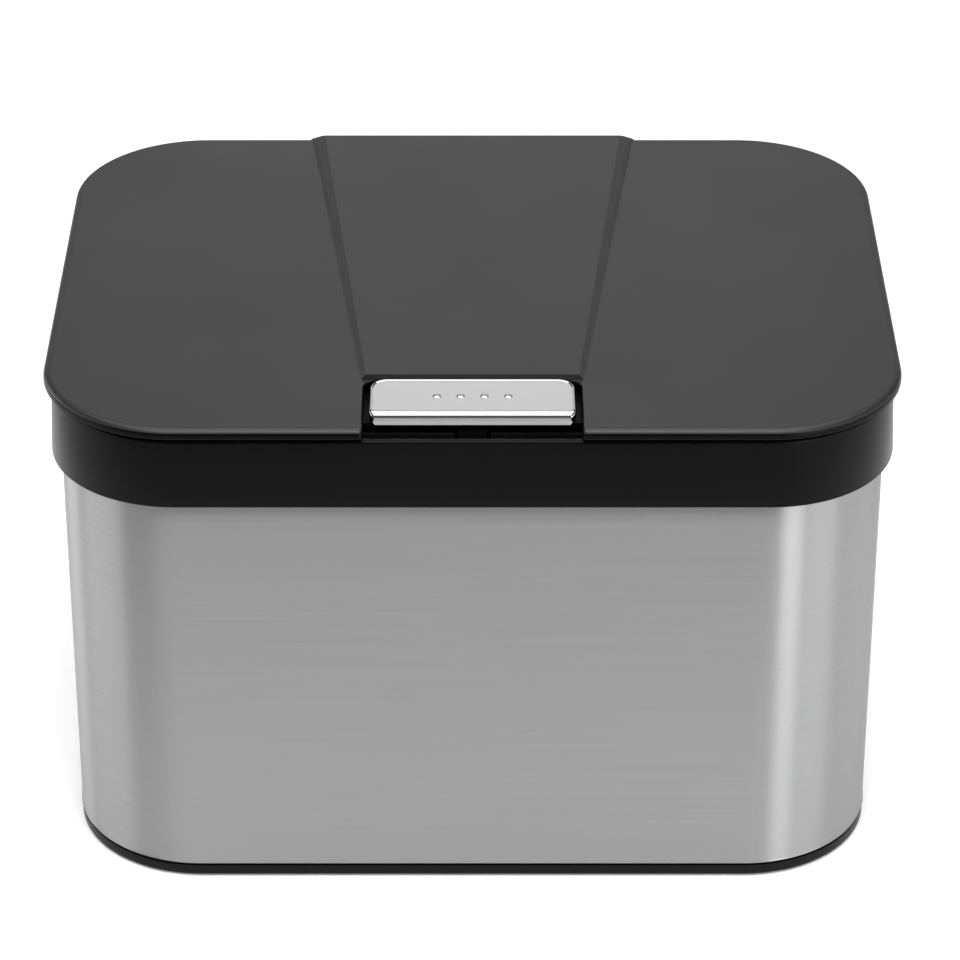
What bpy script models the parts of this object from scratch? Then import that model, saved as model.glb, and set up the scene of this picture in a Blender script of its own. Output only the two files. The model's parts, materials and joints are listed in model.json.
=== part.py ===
"""Compact free-standing waste bin: steel sleeve, plastic collar, hinged lid with a push button.

Metres, +Z up. The origin is on the floor, under the middle of the lid. The front, with the
button, faces -Y. The lid turns about an X axis inside the collar's rear wall.
"""

import math

import bmesh
import bpy
from mathutils import Matrix, Vector

# ---- overall sizes -----------------------------------------------------------------------
SLEEVE_WIDTH = 0.2908
SLEEVE_DEPTH = 0.2208
SLEEVE_CORNER = 0.0470
SLEEVE_VISIBLE = 0.1519          # height of bare steel between base rim and collar
SLEEVE_WALL = 0.0006

TOUCH = 0.0003                   # gap between pieces that rest on or wrap each other
PAST = 0.0010                    # how far a cutting or joining tool runs past its target
DIAGONAL = 1 - math.sqrt(0.5)    # share of a rounding's radius lost at its middle
CORNER_STEPS = 9                 # straight segments in each large corner
SMALL_STEPS = 3                  # segments in a small corner
ROUND_STEPS = 16                 # sides of a pin, boss or bore
COIL_STEPS = 8                   # straight lengths in each turn of a spring

# ---- base pan and feet -------------------------------------------------------------------
FOOT_PROUD = 0.0008              # how far the feet hold the base rim off the floor
FOOT_RADIUS = 0.0080
FOOT_INSET = 0.0300              # foot centre in from the sleeve's outside
FOOT_STEM_RADIUS = 0.0025
FOOT_STEM_ABOVE = 0.0012         # stem standing above the pan floor
FOOT_CHAMFER = 0.0006
STEM_CLEARANCE = 0.0003
BASE_RIM_HEIGHT = 0.0046
BASE_RIM_WIDTH = 0.0060
BASE_RIM_ROUND = 0.0010
BASE_FLOOR = 0.0020
BASE_FLOOR_LIFT = 0.0012         # underside of the floor above the underside of the rim
BASE_UPSTAND = 0.0080
BASE_WALL = 0.0020

# ---- collar ------------------------------------------------------------------------------
COLLAR_HEIGHT = 0.0259
COLLAR_CORNER = 0.0460
COLLAR_PROUD_LOW = 0.0030        # collar beyond the sleeve at its lower edge
COLLAR_PROUD_HIGH = 0.0021
COLLAR_EDGE_ROUND = 0.0012
COLLAR_WALL = 0.0024
SLEEVE_CAPTURE = 0.0052          # length of sleeve hidden in the collar's slot
INNER_SKIRT_BELOW = 0.0070       # inner skirt below the collar's lower edge
LEDGE_DROP = 0.0165              # bucket ledge below the collar's top
LEDGE_THICK = 0.0024
LEDGE_WIDTH = 0.0131             # from the collar wall's inner face
LEDGE_CORNER_EASE = 0.0080       # ledge corner rounder than a parallel offset by this

# ---- inner bucket ------------------------------------------------------------------------
BUCKET_WALL = 0.0018
BUCKET_SIDE_CLEARANCE = 0.0006
BUCKET_FLANGE_THICK = 0.0022
BUCKET_FLANGE_WIDTH = 0.0042     # beyond the bucket's wall
BUCKET_TAPER = 0.0060
BUCKET_FLOOR_CLEARANCE = 0.0060
BUCKET_FOOT_ROUND = 0.0060
BUCKET_LEAST_CORNER = 0.0120
LIFT_NOTCH_WIDTH = 0.0600
LIFT_NOTCH_DEPTH = 0.0030

# ---- lid shell ---------------------------------------------------------------------------
LID_OVERHANG = 0.0046            # lid beyond the sleeve
LID_CORNER = 0.0480
LID_GAP = 0.0019                 # open line between collar and lid
LID_EDGE = 0.0037
LID_EDGE_ROUND = 0.0026
NOTCH_EDGE_ROUND = 0.0006
LID_ROUND_STEPS = 3
LID_WALL = 0.0020
PANEL_RISE = 0.0018
PANEL_REAR_HALF = 0.0578         # half width of the raised panel's top at the rear
PANEL_REAR_SLOPE = 0.0045        # width of the panel's sloped side at the rear
PANEL_FRONT_SLOPE = 0.0015
PANEL_FRONT_REACH = 0.0010       # foot of the panel's sides beyond the notch
PANEL_FRONT_LEAN = 0.0006        # front face leans back by this over the panel's rise
PANEL_REAR_INSET = 0.0008
PANEL_REAR_LEAN = 0.0007         # rear face leans in by this over the panel's rise
PANEL_FRONT_INSET = 0.0002       # panel's front face behind the notch wall
PANEL_ROOT = 0.0010              # panel sunk into the lid's plate
PANEL_ROOT_SHARE = -0.2          # slope carried on down into the plate
NOTCH_DEPTH = 0.0356             # from the lid's front edge
NOTCH_HALF = 0.0376
NOTCH_CORNER = 0.0050
NOTCH_MOUTH_ROUND = 0.0012
LEAST_ROUND = 0.0002             # smallest radius left on an inset corner

# ---- hinge -------------------------------------------------------------------------------
HINGE_BEHIND = 0.0085            # axis in from the lid's rear edge
HINGE_BELOW = 0.0040             # axis below the collar's top
HINGE_SPACING = 0.1560
HINGE_BOSS_LENGTH = 0.0050
HINGE_BOSS_ABOVE = 0.0031        # boss above the axis
HINGE_BOSS_AHEAD = 0.0049        # boss in front of the axis
EAR_LENGTH = 0.0080
EAR_RADIUS = 0.0032
EAR_NECK_REAR = 0.0068           # neck's rear face ahead of the axis, at the lid
EAR_NECK_THICK = 0.0057
EAR_ARC = (215, 485)             # degrees of the ear's ring that stay round
EAR_STEPS = 18
LID_SPRING_ROOM = 0.0062
LID_SPRING_COIL = 0.0026
LID_SPRING_WIRE = 0.00035
LID_SPRING_TURNS = 4
LID_SPRING_LEGS = (0.0085, 0.0130)
LID_SPRING_ANGLES = (0, 70)      # degrees where the coil leaves each leg
SIDE_CLEARANCE = 0.0004
PIN_RADIUS = 0.0015
PIN_CLEARANCE = 0.00015

# ---- lid liner ---------------------------------------------------------------------------
LINER_DROP = 0.0045              # top of the liner plate below the lid's underside
LINER_THICK = 0.0016
LINER_SIDE_INSET = 0.0114        # liner edge in from the sleeve's side
LINER_FRONT_INSET = 0.0104
LINER_REAR_INSET = 0.0194
LINER_CORNER = 0.0340
LINER_WALL = 0.0016
TRAY_DEPTH = 0.0101              # tray below the top of the liner plate
TRAY_FLOOR = 0.0015
TRAY_SIDE_ROOM = 0.0014          # beyond the carrier's flange
TRAY_END_ROOM = 0.0008
TRAY_BELOW_PAN = 0.0006          # tray walls stop this far below the liner plate's top
SCREW_SHANK = 0.0013
SCREW_HEAD = 0.0026
SCREW_HEAD_THICK = 0.0013
SCREW_CLEARANCE = 0.0002
SCREW_EDGE = 0.0160              # screw centre in from the liner's edge
SCREW_CORNER_EASE = 0.0080       # corner screws moved on along the sides
SCREW_TRAY_ROOM = 0.0040         # front screw bosses off the tray's walls
SCREW_HEAD_CHAMFERS = (0.0007, 0.0004)
SCREW_TIP = 0.0006
SCREW_STEPS = 12
BOSS_RADIUS = 0.0032
BOSS_HOLE_SKIN = 0.0015          # lid left above the screw hole

# ---- button ------------------------------------------------------------------------------
BUTTON_SIDE_GAP = 0.0023
BUTTON_REAR_GAP = 0.0005
BUTTON_LENGTH = 0.0251           # front to back
BUTTON_RISE = 0.0008             # button's top above the lid's plate
BUTTON_CORNER = 0.0060
BUTTON_FRONT_CORNER = 0.0020
BUTTON_FRONT_ROUND = 0.0030
BUTTON_EDGE_ROUND = 0.0004
BUTTON_FRONT_STEPS = 4
BUTTON_LEAST_CORNER = 0.0005
BUTTON_WALL = 0.0010
BUTTON_FRONT_WALL = 0.0020
BUTTON_TOP = 0.0012
BUTTON_HEIGHT = 0.0042
BUTTON_TRAVEL = 0.0025
CARRIER_FLANGE = 0.0015
CARRIER_REACH = 0.0011           # flange beyond the notch's wall
CARRIER_WINDOW_HALF = 0.0116
CARRIER_WINDOW_AHEAD = 0.0063    # window's front edge ahead of the latch axis
CARRIER_WINDOW_BEHIND = 0.0050
CARRIER_ROOT = 0.0005            # posts and pusher sunk into the flange
GUIDE_RADIUS = 0.0020
GUIDE_CLEARANCE = 0.0003
GUIDE_BELOW = 0.0010             # guide post below the tray
GUIDE_X = 0.0350
SPRING_POST_X = 0.0250
SPRING_POST_RADIUS = 0.0016
SPRING_POST_CLEARANCE = 0.0010   # above the tray floor when pressed
SPRING_COIL = 0.0026
SPRING_WIRE = 0.00025
SPRING_TURNS = 4

# ---- latch -------------------------------------------------------------------------------
LATCH_AXIS_BEHIND = 0.0115       # axis behind the button's front face
LATCH_AXIS_BELOW = 0.0076        # axis below the lid's top
LATCH_HUB = 0.0026
LATCH_HUB_HALF = 0.0030
LATCH_ARM_HALF = 0.0050
LATCH_ARM_TOP = 0.0008           # arm's top above the axis
LATCH_ARM_THICK = 0.0022
LATCH_ARM_AHEAD = 0.0036         # arm's rear face ahead of the axis
LATCH_NOSE_TOP = -0.0053         # nose's top relative to the axis
LATCH_NOSE_THICK = 0.0020
LATCH_LEG_THICK = 0.0022
LATCH_NOSE_LENGTH = 0.0020
LATCH_NOSE_CHAMFER = (0.0012, 0.0006)
LATCH_WEB_INSET = 0.0002
LATCH_PIN_RADIUS = 0.0012
LATCH_EAR_THICK = 0.0025
LATCH_EAR_HALF = 0.0024          # ear ahead of and behind the axis
LATCH_EAR_ABOVE = 0.0026
LATCH_SLOT_AHEAD = 0.0048        # slot's rear edge ahead of the axis
LATCH_SLOT_SIDE = 0.0012         # slot wider than the arm on each side
LATCH_SPRING_ROOM = 0.0042
LATCH_SPRING_COIL = 0.0021
LATCH_SPRING_WIRE = 0.00022
LATCH_SPRING_TURNS = 3
LATCH_SPRING_LEG = 0.0072
LATCH_SPRING_ANGLES = (180, -90)
PUSHER_HEIGHT = 0.0010
PUSHER_HALF = 0.0045
PUSHER_THICK = 0.0013
PUSHER_INSET = 0.0001            # behind the flange's front edge
CATCH_HALF = 0.0090
CATCH_THICK = 0.0020
CATCH_REACH = 0.0039             # from the collar wall's inner face
CATCH_CHAMFER = 0.0012
CATCH_CLEARANCE = 0.0003         # open path between nose and catch lip

# ---- lid bumpers -------------------------------------------------------------------------
BUMPER_SPACING = 0.2000
BUMPER_RADIUS = 0.0030
BUMPER_STEM = 0.0014
BUMPER_STEM_LENGTH = 0.0050
BUMPER_POST_RADIUS = 0.0036
BUMPER_OFF_WALL = 0.0002         # post's side off the collar wall, bridged by its web
BUMPER_WEB_HALF = 0.0012
BUMPER_CHAMFER = 0.0008
BUMPER_POST_BELOW = 0.0015       # post's top below the collar's top

# ---- places worked out from the sizes ----------------------------------------------------
HALF_W = SLEEVE_WIDTH / 2
HALF_D = SLEEVE_DEPTH / 2
SLEEVE_BOTTOM_Z = FOOT_PROUD + BASE_RIM_HEIGHT + TOUCH
COLLAR_BOTTOM_Z = SLEEVE_BOTTOM_Z + SLEEVE_VISIBLE
SLEEVE_TOP_Z = COLLAR_BOTTOM_Z + SLEEVE_CAPTURE
COLLAR_TOP_Z = COLLAR_BOTTOM_Z + COLLAR_HEIGHT
LEDGE_TOP_Z = COLLAR_TOP_Z - LEDGE_DROP
COLLAR_INNER = COLLAR_PROUD_HIGH - COLLAR_WALL      # offset of the wall's inner face
LID_BOTTOM_Z = COLLAR_TOP_Z + LID_GAP
LID_TOP_Z = LID_BOTTOM_Z + LID_EDGE
LID_UNDER_Z = LID_TOP_Z - LID_WALL
LID_HALF_W = HALF_W + LID_OVERHANG
LID_HALF_D = HALF_D + LID_OVERHANG
NOTCH_REAR_Y = -LID_HALF_D + NOTCH_DEPTH
HINGE_Y = LID_HALF_D - HINGE_BEHIND
HINGE_Z = COLLAR_TOP_Z - HINGE_BELOW
LINER_TOP_Z = LID_UNDER_Z - LINER_DROP
LINER_BOTTOM_Z = LINER_TOP_Z - LINER_THICK
TRAY_BOTTOM_Z = LINER_TOP_Z - TRAY_DEPTH
TRAY_FLOOR_Z = TRAY_BOTTOM_Z + TRAY_FLOOR
BUTTON_HALF = NOTCH_HALF - BUTTON_SIDE_GAP
BUTTON_REAR_Y = NOTCH_REAR_Y - BUTTON_REAR_GAP
BUTTON_FRONT_Y = BUTTON_REAR_Y - BUTTON_LENGTH
BUTTON_TOP_Z = LID_TOP_Z + BUTTON_RISE
FLANGE_TOP_Z = LID_BOTTOM_Z - TOUCH
FLANGE_BOTTOM_Z = FLANGE_TOP_Z - CARRIER_FLANGE
FLANGE_HALF = NOTCH_HALF + LID_WALL + CARRIER_REACH
FLANGE_REAR_Y = NOTCH_REAR_Y + LID_WALL + CARRIER_REACH
FLANGE_FRONT_Y = BUTTON_FRONT_Y + BUTTON_FRONT_WALL + TOUCH
LATCH_Y = BUTTON_FRONT_Y + LATCH_AXIS_BEHIND
LATCH_Z = LID_TOP_Z - LATCH_AXIS_BELOW
CATCH_EDGE_Y = -(HALF_D + COLLAR_INNER) + CATCH_REACH
NOSE_TIP_Y = CATCH_EDGE_Y + CATCH_CLEARANCE
SPRING_Y = (FLANGE_FRONT_Y + FLANGE_REAR_Y) / 2
BUMPER_Y = -(HALF_D + COLLAR_INNER) + BUMPER_POST_RADIUS + BUMPER_OFF_WALL


# ---- outlines ----------------------------------------------------------------------------
def rounded_polygon(corners):
    """Points of a counter-clockwise polygon whose corners (x, y, radius, steps) are arcs."""
    points = []
    count = len(corners)
    for i, (x, y, radius, steps) in enumerate(corners):
        here = Vector((x, y))
        back = (Vector(corners[i - 1][:2]) - here).normalized()
        ahead = (Vector(corners[(i + 1) % count][:2]) - here).normalized()
        if radius <= 0:
            points.append(here)
            continue
        half = back.angle(ahead) / 2
        centre = here + (back + ahead).normalized() * (radius / math.sin(half))
        start = here + back * (radius / math.tan(half)) - centre
        turn = math.pi - 2 * half
        if back.cross(ahead) > 0:
            turn = -turn
        for k in range(steps + 1):
            points.append(centre + Matrix.Rotation(turn * k / steps, 2) @ start)
    return points


def rectangle(x0, x1, y0, y1, radius=0.0, steps=SMALL_STEPS):
    """Rounded rectangle, counter-clockwise seen from above."""
    return rounded_polygon([(x1, y1, radius, steps), (x0, y1, radius, steps),
                            (x0, y0, radius, steps), (x1, y0, radius, steps)])


def shell_outline(offset, corner):
    """Outline parallel to the sleeve's sides, offset outwards, with its own corner radius."""
    half_w = HALF_W + offset
    half_d = HALF_D + offset
    return rectangle(-half_w, half_w, -half_d, half_d, corner, CORNER_STEPS)


def lid_outline(inset, notch_inset):
    """Lid outline with the button's notch in its front edge, each offset into the plate."""
    half_w = LID_HALF_W - inset
    half_d = LID_HALF_D - inset
    corner = (LID_CORNER - inset, CORNER_STEPS)
    notch = NOTCH_HALF + notch_inset
    rear = NOTCH_REAR_Y + notch_inset
    mouth = (max(NOTCH_MOUTH_ROUND - notch_inset, LEAST_ROUND), SMALL_STEPS)
    inner = (NOTCH_CORNER + notch_inset, SMALL_STEPS)
    return rounded_polygon([
        (half_w, half_d, *corner), (-half_w, half_d, *corner), (-half_w, -half_d, *corner),
        (-notch, -half_d, *mouth), (-notch, rear, *inner),
        (notch, rear, *inner), (notch, -half_d, *mouth), (half_w, -half_d, *corner)])


# ---- solids ------------------------------------------------------------------------------
def new_object(name, bm):
    mesh = bpy.data.meshes.new(name)
    bmesh.ops.recalc_face_normals(bm, faces=bm.faces)
    bm.to_mesh(mesh)
    bm.free()
    obj = bpy.data.objects.new(name, mesh)
    bpy.context.scene.collection.objects.link(obj)
    return obj


def loft(name, rings, closed=False):
    """Solid through rings of equal point count; a closed loft joins its last ring to its first."""
    bm = bmesh.new()
    loops = [[bm.verts.new(p) for p in ring] for ring in rings]
    count = len(loops[0])
    pairs = list(zip(loops, loops[1:]))
    if closed:
        pairs.append((loops[-1], loops[0]))
    for low, high in pairs:
        for i in range(count):
            j = (i + 1) % count
            bm.faces.new((low[i], low[j], high[j], high[i]))
    if not closed:
        bm.faces.new(loops[0][::-1])
        bm.faces.new(loops[-1])
    return new_object(name, bm)


def ring(outline, z):
    return [(p.x, p.y, z) for p in outline]


def prism(name, outline, z0, z1):
    return loft(name, [ring(outline, z0), ring(outline, z1)])


def side_prism(name, profile, x0, x1):
    """Prism of a (y, z) profile, between two x planes."""
    return loft(name, [[(x0, p[0], p[1]) for p in profile], [(x1, p[0], p[1]) for p in profile]])


def box(name, x0, x1, y0, y1, z0, z1):
    return prism(name, rectangle(x0, x1, y0, y1), z0, z1)


def circle(radius, steps=ROUND_STEPS):
    return [Vector((radius * math.cos(2 * math.pi * i / steps),
                    radius * math.sin(2 * math.pi * i / steps))) for i in range(steps)]


def turned(name, profile, steps=ROUND_STEPS):
    """Solid of revolution about Z from (radius, z) pairs, bottom to top."""
    return loft(name, [ring(circle(radius, steps), z) for radius, z in profile])


def cross_pin(name, radius, x0, x1, y, z, steps=ROUND_STEPS):
    """Cylinder along X."""
    return side_prism(name, [(y + p.x, z + p.y) for p in circle(radius, steps)], x0, x1)


def wire(name, points, radius):
    """Round wire through a list of points."""
    curve = bpy.data.curves.new(name, 'CURVE')
    curve.dimensions = '3D'
    curve.bevel_depth = radius
    curve.bevel_resolution = 1
    curve.use_fill_caps = True
    spline = curve.splines.new('POLY')
    spline.points.add(len(points) - 1)
    for target, point in zip(spline.points, points):
        target.co = (*point, 1.0)
    obj = bpy.data.objects.new(name, curve)
    bpy.context.scene.collection.objects.link(obj)
    return obj


def boolean(target, tool, operation):
    """Leave a Boolean on the target, with its tool kept as a hidden wire guide."""
    modifier = target.modifiers.new(tool.name, 'BOOLEAN')
    modifier.operation = operation
    modifier.object = tool
    tool.hide_render = True
    tool.display_type = 'WIRE'
    return target


def add(target, tool):
    return boolean(target, tool, 'UNION')


def cut(target, tool):
    return boolean(target, tool, 'DIFFERENCE')


def material(name, colour, roughness, metallic=0.0):
    found = bpy.data.materials.get(name)
    if found:
        return found
    made = bpy.data.materials.new(name)
    made.use_nodes = True
    shader = made.node_tree.nodes["Principled BSDF"]
    shader.inputs["Base Color"].default_value = (*colour, 1.0)
    shader.inputs["Roughness"].default_value = roughness
    shader.inputs["Metallic"].default_value = metallic
    return made


def dress(obj, made, smooth_angle=35):
    """Give an object its material and smooth its rounded faces."""
    obj.data.materials.append(made)
    if obj.type == 'MESH':
        obj.data.shade_smooth()
        obj.data.set_sharp_from_angle(angle=math.radians(smooth_angle))
    return obj


def empty(name, location, parent=None):
    """Axis of a moving body."""
    made = bpy.data.objects.new(name, None)
    made.empty_display_size = 0.01
    bpy.context.scene.collection.objects.link(made)
    made.location = location
    if parent:
        made.parent = parent
        made.matrix_parent_inverse = Matrix.Translation(-parent.location)
    return made


def hang(obj, axis):
    """Parent a piece, built in place, to its body's axis."""
    obj.parent = axis
    origin = axis.location
    obj.matrix_parent_inverse = Matrix.Translation(-origin)
    return obj


# ---- materials ---------------------------------------------------------------------------
def black_plastic():
    return material("black_plastic", (0.010, 0.010, 0.011), 0.28)


def lid_plastic():
    return material("lid_plastic", (0.018, 0.018, 0.019), 0.42)


def liner_plastic():
    return material("liner_plastic", (0.020, 0.020, 0.021), 0.50)


def bucket_plastic():
    return material("bucket_plastic", (0.050, 0.052, 0.055), 0.45)


def steel():
    return material("brushed_steel", (0.55, 0.55, 0.56), 0.32, 1.0)


def polished():
    return material("polished_metal", (0.80, 0.80, 0.81), 0.12, 1.0)


def spring_steel():
    return material("spring_steel", (0.45, 0.45, 0.46), 0.30, 1.0)


def rubber():
    return material("rubber", (0.015, 0.015, 0.015), 0.80)


# ---- base --------------------------------------------------------------------------------
def foot_places():
    x = HALF_W - FOOT_INSET
    y = HALF_D - FOOT_INSET
    return {"front_left": (-x, -y), "front_right": (x, -y),
            "rear_left": (-x, y), "rear_right": (x, y)}


def base_pan():
    """Pan that closes the sleeve's foot: visible rim, floor and an upstand inside the sleeve."""
    z0 = FOOT_PROUD
    rim_top = z0 + BASE_RIM_HEIGHT
    under = z0 + BASE_FLOOR_LIFT
    inside = -SLEEVE_WALL - TOUCH
    steps = [(-BASE_RIM_WIDTH, under), (-BASE_RIM_WIDTH, z0), (-BASE_RIM_ROUND, z0),
             (0.0, z0 + BASE_RIM_ROUND), (0.0, rim_top), (inside, rim_top),
             (inside, rim_top + BASE_UPSTAND), (inside - BASE_WALL, rim_top + BASE_UPSTAND),
             (inside - BASE_WALL, under + BASE_FLOOR)]
    pan = loft("base_pan", [ring(shell_outline(o, SLEEVE_CORNER + o), z) for o, z in steps])
    for name, (x, y) in foot_places().items():
        radius = FOOT_STEM_RADIUS + STEM_CLEARANCE
        hole = turned("foot_hole_" + name, [(radius, 0.0), (radius, under + BASE_FLOOR + PAST)])
        hole.location = (x, y, 0)
        cut(pan, hole)
    return dress(pan, black_plastic())


def feet():
    """Rubber feet: a disc under the pan, with a stem up through its floor."""
    pan_under = FOOT_PROUD + BASE_FLOOR_LIFT
    top = pan_under - TOUCH
    profile = [(FOOT_RADIUS - FOOT_CHAMFER, 0.0), (FOOT_RADIUS, FOOT_CHAMFER), (FOOT_RADIUS, top),
               (FOOT_STEM_RADIUS, top), (FOOT_STEM_RADIUS, pan_under + BASE_FLOOR + FOOT_STEM_ABOVE)]
    for name, (x, y) in foot_places().items():
        foot = turned("foot_" + name, profile)
        foot.location = (x, y, 0)
        dress(foot, rubber())


def body_sleeve():
    """Steel tube, open at both ends."""
    inner = -SLEEVE_WALL
    outside = shell_outline(0.0, SLEEVE_CORNER)
    inside = shell_outline(inner, SLEEVE_CORNER + inner)
    rings = [ring(outside, SLEEVE_BOTTOM_Z), ring(outside, SLEEVE_TOP_Z),
             ring(inside, SLEEVE_TOP_Z), ring(inside, SLEEVE_BOTTOM_Z)]
    return dress(loft("body_sleeve", rings, closed=True), steel())


# ---- collar ------------------------------------------------------------------------------
def collar_rings():
    """Cross-section of the collar, carried round the body as (offset, corner, z) rings."""
    slot_out = TOUCH
    slot_in = -SLEEVE_WALL - TOUCH
    skirt_in = slot_in - COLLAR_WALL
    slot_top = SLEEVE_TOP_Z + TOUCH
    skirt_bottom = COLLAR_BOTTOM_Z - INNER_SKIRT_BELOW
    ledge_in = COLLAR_INNER - LEDGE_WIDTH
    corner_in = COLLAR_CORNER - COLLAR_WALL
    ledge_corner = corner_in - LEDGE_WIDTH + LEDGE_CORNER_EASE
    edge = COLLAR_EDGE_ROUND
    lost = edge * DIAGONAL
    section = [
        (COLLAR_PROUD_LOW, COLLAR_CORNER, COLLAR_BOTTOM_Z),
        (COLLAR_PROUD_HIGH, COLLAR_CORNER, COLLAR_TOP_Z - edge),
        (COLLAR_PROUD_HIGH - lost, COLLAR_CORNER - lost, COLLAR_TOP_Z - lost),
        (COLLAR_PROUD_HIGH - edge, COLLAR_CORNER - edge, COLLAR_TOP_Z),
        (COLLAR_INNER, corner_in, COLLAR_TOP_Z),
        (COLLAR_INNER, corner_in, LEDGE_TOP_Z),
        (ledge_in, ledge_corner, LEDGE_TOP_Z),
        (ledge_in, ledge_corner, LEDGE_TOP_Z - LEDGE_THICK),
        (skirt_in, SLEEVE_CORNER + skirt_in, LEDGE_TOP_Z - LEDGE_THICK),
        (skirt_in, SLEEVE_CORNER + skirt_in, skirt_bottom),
        (slot_in, SLEEVE_CORNER + slot_in, skirt_bottom),
        (slot_in, SLEEVE_CORNER + slot_in, slot_top),
        (slot_out, SLEEVE_CORNER + slot_out, slot_top),
        (slot_out, SLEEVE_CORNER + slot_out, COLLAR_BOTTOM_Z),
    ]
    return [ring(shell_outline(offset, corner), z) for offset, corner, z in section]


def hinge_spans(side):
    """x ranges of one hinge, from the inner boss outwards, on the left (-1) or right (+1)."""
    total = 2 * HINGE_BOSS_LENGTH + EAR_LENGTH + LID_SPRING_ROOM + 2 * SIDE_CLEARANCE
    at = HINGE_SPACING / 2 - total / 2
    spans = {}
    for name, length in (("inner_boss", HINGE_BOSS_LENGTH), ("gap_a", SIDE_CLEARANCE),
                         ("ear", EAR_LENGTH), ("spring", LID_SPRING_ROOM),
                         ("gap_b", SIDE_CLEARANCE), ("outer_boss", HINGE_BOSS_LENGTH)):
        spans[name] = tuple(sorted((side * at, side * (at + length))))
        at += length
    return spans


def add_hinge_bosses(collar, side):
    wall_y = HALF_D + COLLAR_INNER + COLLAR_WALL / 2
    for name in ("inner_boss", "outer_boss"):
        x0, x1 = hinge_spans(side)[name]
        boss = box(f"boss_{name}_{side}", x0, x1, HINGE_Y - HINGE_BOSS_AHEAD, wall_y,
                   LEDGE_TOP_Z - LEDGE_THICK / 2, HINGE_Z + HINGE_BOSS_ABOVE)
        add(collar, boss)
    x0 = hinge_spans(side)["inner_boss"][0 if side > 0 else 1]
    x1 = hinge_spans(side)["outer_boss"][1 if side > 0 else 0]
    bore = cross_pin(f"pin_bore_{side}", PIN_RADIUS + PIN_CLEARANCE, min(x0, x1) - PAST,
                     max(x0, x1) + PAST, HINGE_Y, HINGE_Z)
    cut(collar, bore)


def collar():
    """Plastic frame on the sleeve: carries the bucket, the hinge, the catch and the bumpers."""
    body = loft("collar", collar_rings(), closed=True)
    wall_y = -(HALF_D + COLLAR_INNER + COLLAR_WALL / 2)
    nose_top = LATCH_Z + LATCH_NOSE_TOP
    catch_z = nose_top + TOUCH
    catch_top = catch_z + CATCH_THICK
    profile = [(wall_y, catch_z), (CATCH_EDGE_Y, catch_z), (CATCH_EDGE_Y, catch_top - CATCH_CHAMFER),
               (CATCH_EDGE_Y - CATCH_CHAMFER, catch_top), (wall_y, catch_top)]
    add(body, side_prism("catch_lip", profile, -CATCH_HALF, CATCH_HALF))
    post_top = COLLAR_TOP_Z - BUMPER_POST_BELOW
    for side in (-1, 1):
        post = turned(f"bumper_post_{side}", [(BUMPER_POST_RADIUS, LEDGE_TOP_Z - LEDGE_THICK / 2),
                                              (BUMPER_POST_RADIUS, post_top)])
        post.location = (side * BUMPER_SPACING / 2, BUMPER_Y, 0)
        add(body, post)
        web = box(f"bumper_web_{side}", -BUMPER_WEB_HALF, BUMPER_WEB_HALF, wall_y, BUMPER_Y,
                  LEDGE_TOP_Z - LEDGE_THICK / 2, post_top)
        web.location.x = side * BUMPER_SPACING / 2
        add(body, web)
        hole = turned(f"bumper_hole_{side}", [
            (BUMPER_STEM + STEM_CLEARANCE, post_top - BUMPER_STEM_LENGTH - STEM_CLEARANCE),
            (BUMPER_STEM + STEM_CLEARANCE, post_top + PAST)])
        hole.location = (side * BUMPER_SPACING / 2, BUMPER_Y, 0)
        cut(body, hole)
        add_hinge_bosses(body, side)
    return dress(body, black_plastic())


def lid_bumpers():
    """Rubber buttons in the collar's posts, under the lid's front corners."""
    post_top = COLLAR_TOP_Z - BUMPER_POST_BELOW
    low = post_top + TOUCH
    high = LID_UNDER_Z - TOUCH
    profile = [(BUMPER_STEM, post_top - BUMPER_STEM_LENGTH), (BUMPER_STEM, low),
               (BUMPER_RADIUS, low), (BUMPER_RADIUS, high - BUMPER_CHAMFER),
               (BUMPER_RADIUS - BUMPER_CHAMFER, high)]
    for side, name in ((-1, "left"), (1, "right")):
        bumper = turned("lid_bumper_" + name, profile)
        bumper.location = (side * BUMPER_SPACING / 2, BUMPER_Y, 0)
        dress(bumper, rubber())


def hinge_pins():
    for side, name in ((-1, "left"), (1, "right")):
        spans = hinge_spans(side)
        ends = spans["inner_boss"] + spans["outer_boss"]
        pin = cross_pin("hinge_pin_" + name, PIN_RADIUS, min(ends), max(ends), HINGE_Y, HINGE_Z)
        dress(pin, spring_steel())


def torsion_points(x0, x1, radius, turns, first, last, leg_first, leg_last):
    """Torsion spring about an X axis: leg, coil from angle first to last (radians), leg."""
    direction = 1 if last > first else -1
    sweep = last - first + direction * 2 * math.pi * turns
    count = int(abs(sweep) / (2 * math.pi) * COIL_STEPS)
    coil = [(x0 + (x1 - x0) * i / count, radius * math.cos(first + sweep * i / count),
             radius * math.sin(first + sweep * i / count)) for i in range(count + 1)]
    end = first + sweep
    start_leg = (x0, coil[0][1] + direction * leg_first * math.sin(first),
                 coil[0][2] - direction * leg_first * math.cos(first))
    end_leg = (x1, coil[-1][1] - direction * leg_last * math.sin(end),
               coil[-1][2] + direction * leg_last * math.cos(end))
    return [start_leg] + coil + [end_leg]


def lid_springs():
    """Springs round the hinge pins: one leg on the collar's wall, the other under the lid."""
    margin = LID_SPRING_WIRE + TOUCH
    angles = [math.radians(a) for a in LID_SPRING_ANGLES]
    for side, name in ((-1, "left"), (1, "right")):
        x0, x1 = hinge_spans(side)["spring"]
        points = torsion_points(x0 + margin, x1 - margin, LID_SPRING_COIL, LID_SPRING_TURNS,
                                *angles, *LID_SPRING_LEGS)
        spring = wire("lid_spring_" + name, points, LID_SPRING_WIRE)
        spring.location = (0, HINGE_Y, HINGE_Z)
        dress(spring, spring_steel())


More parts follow.
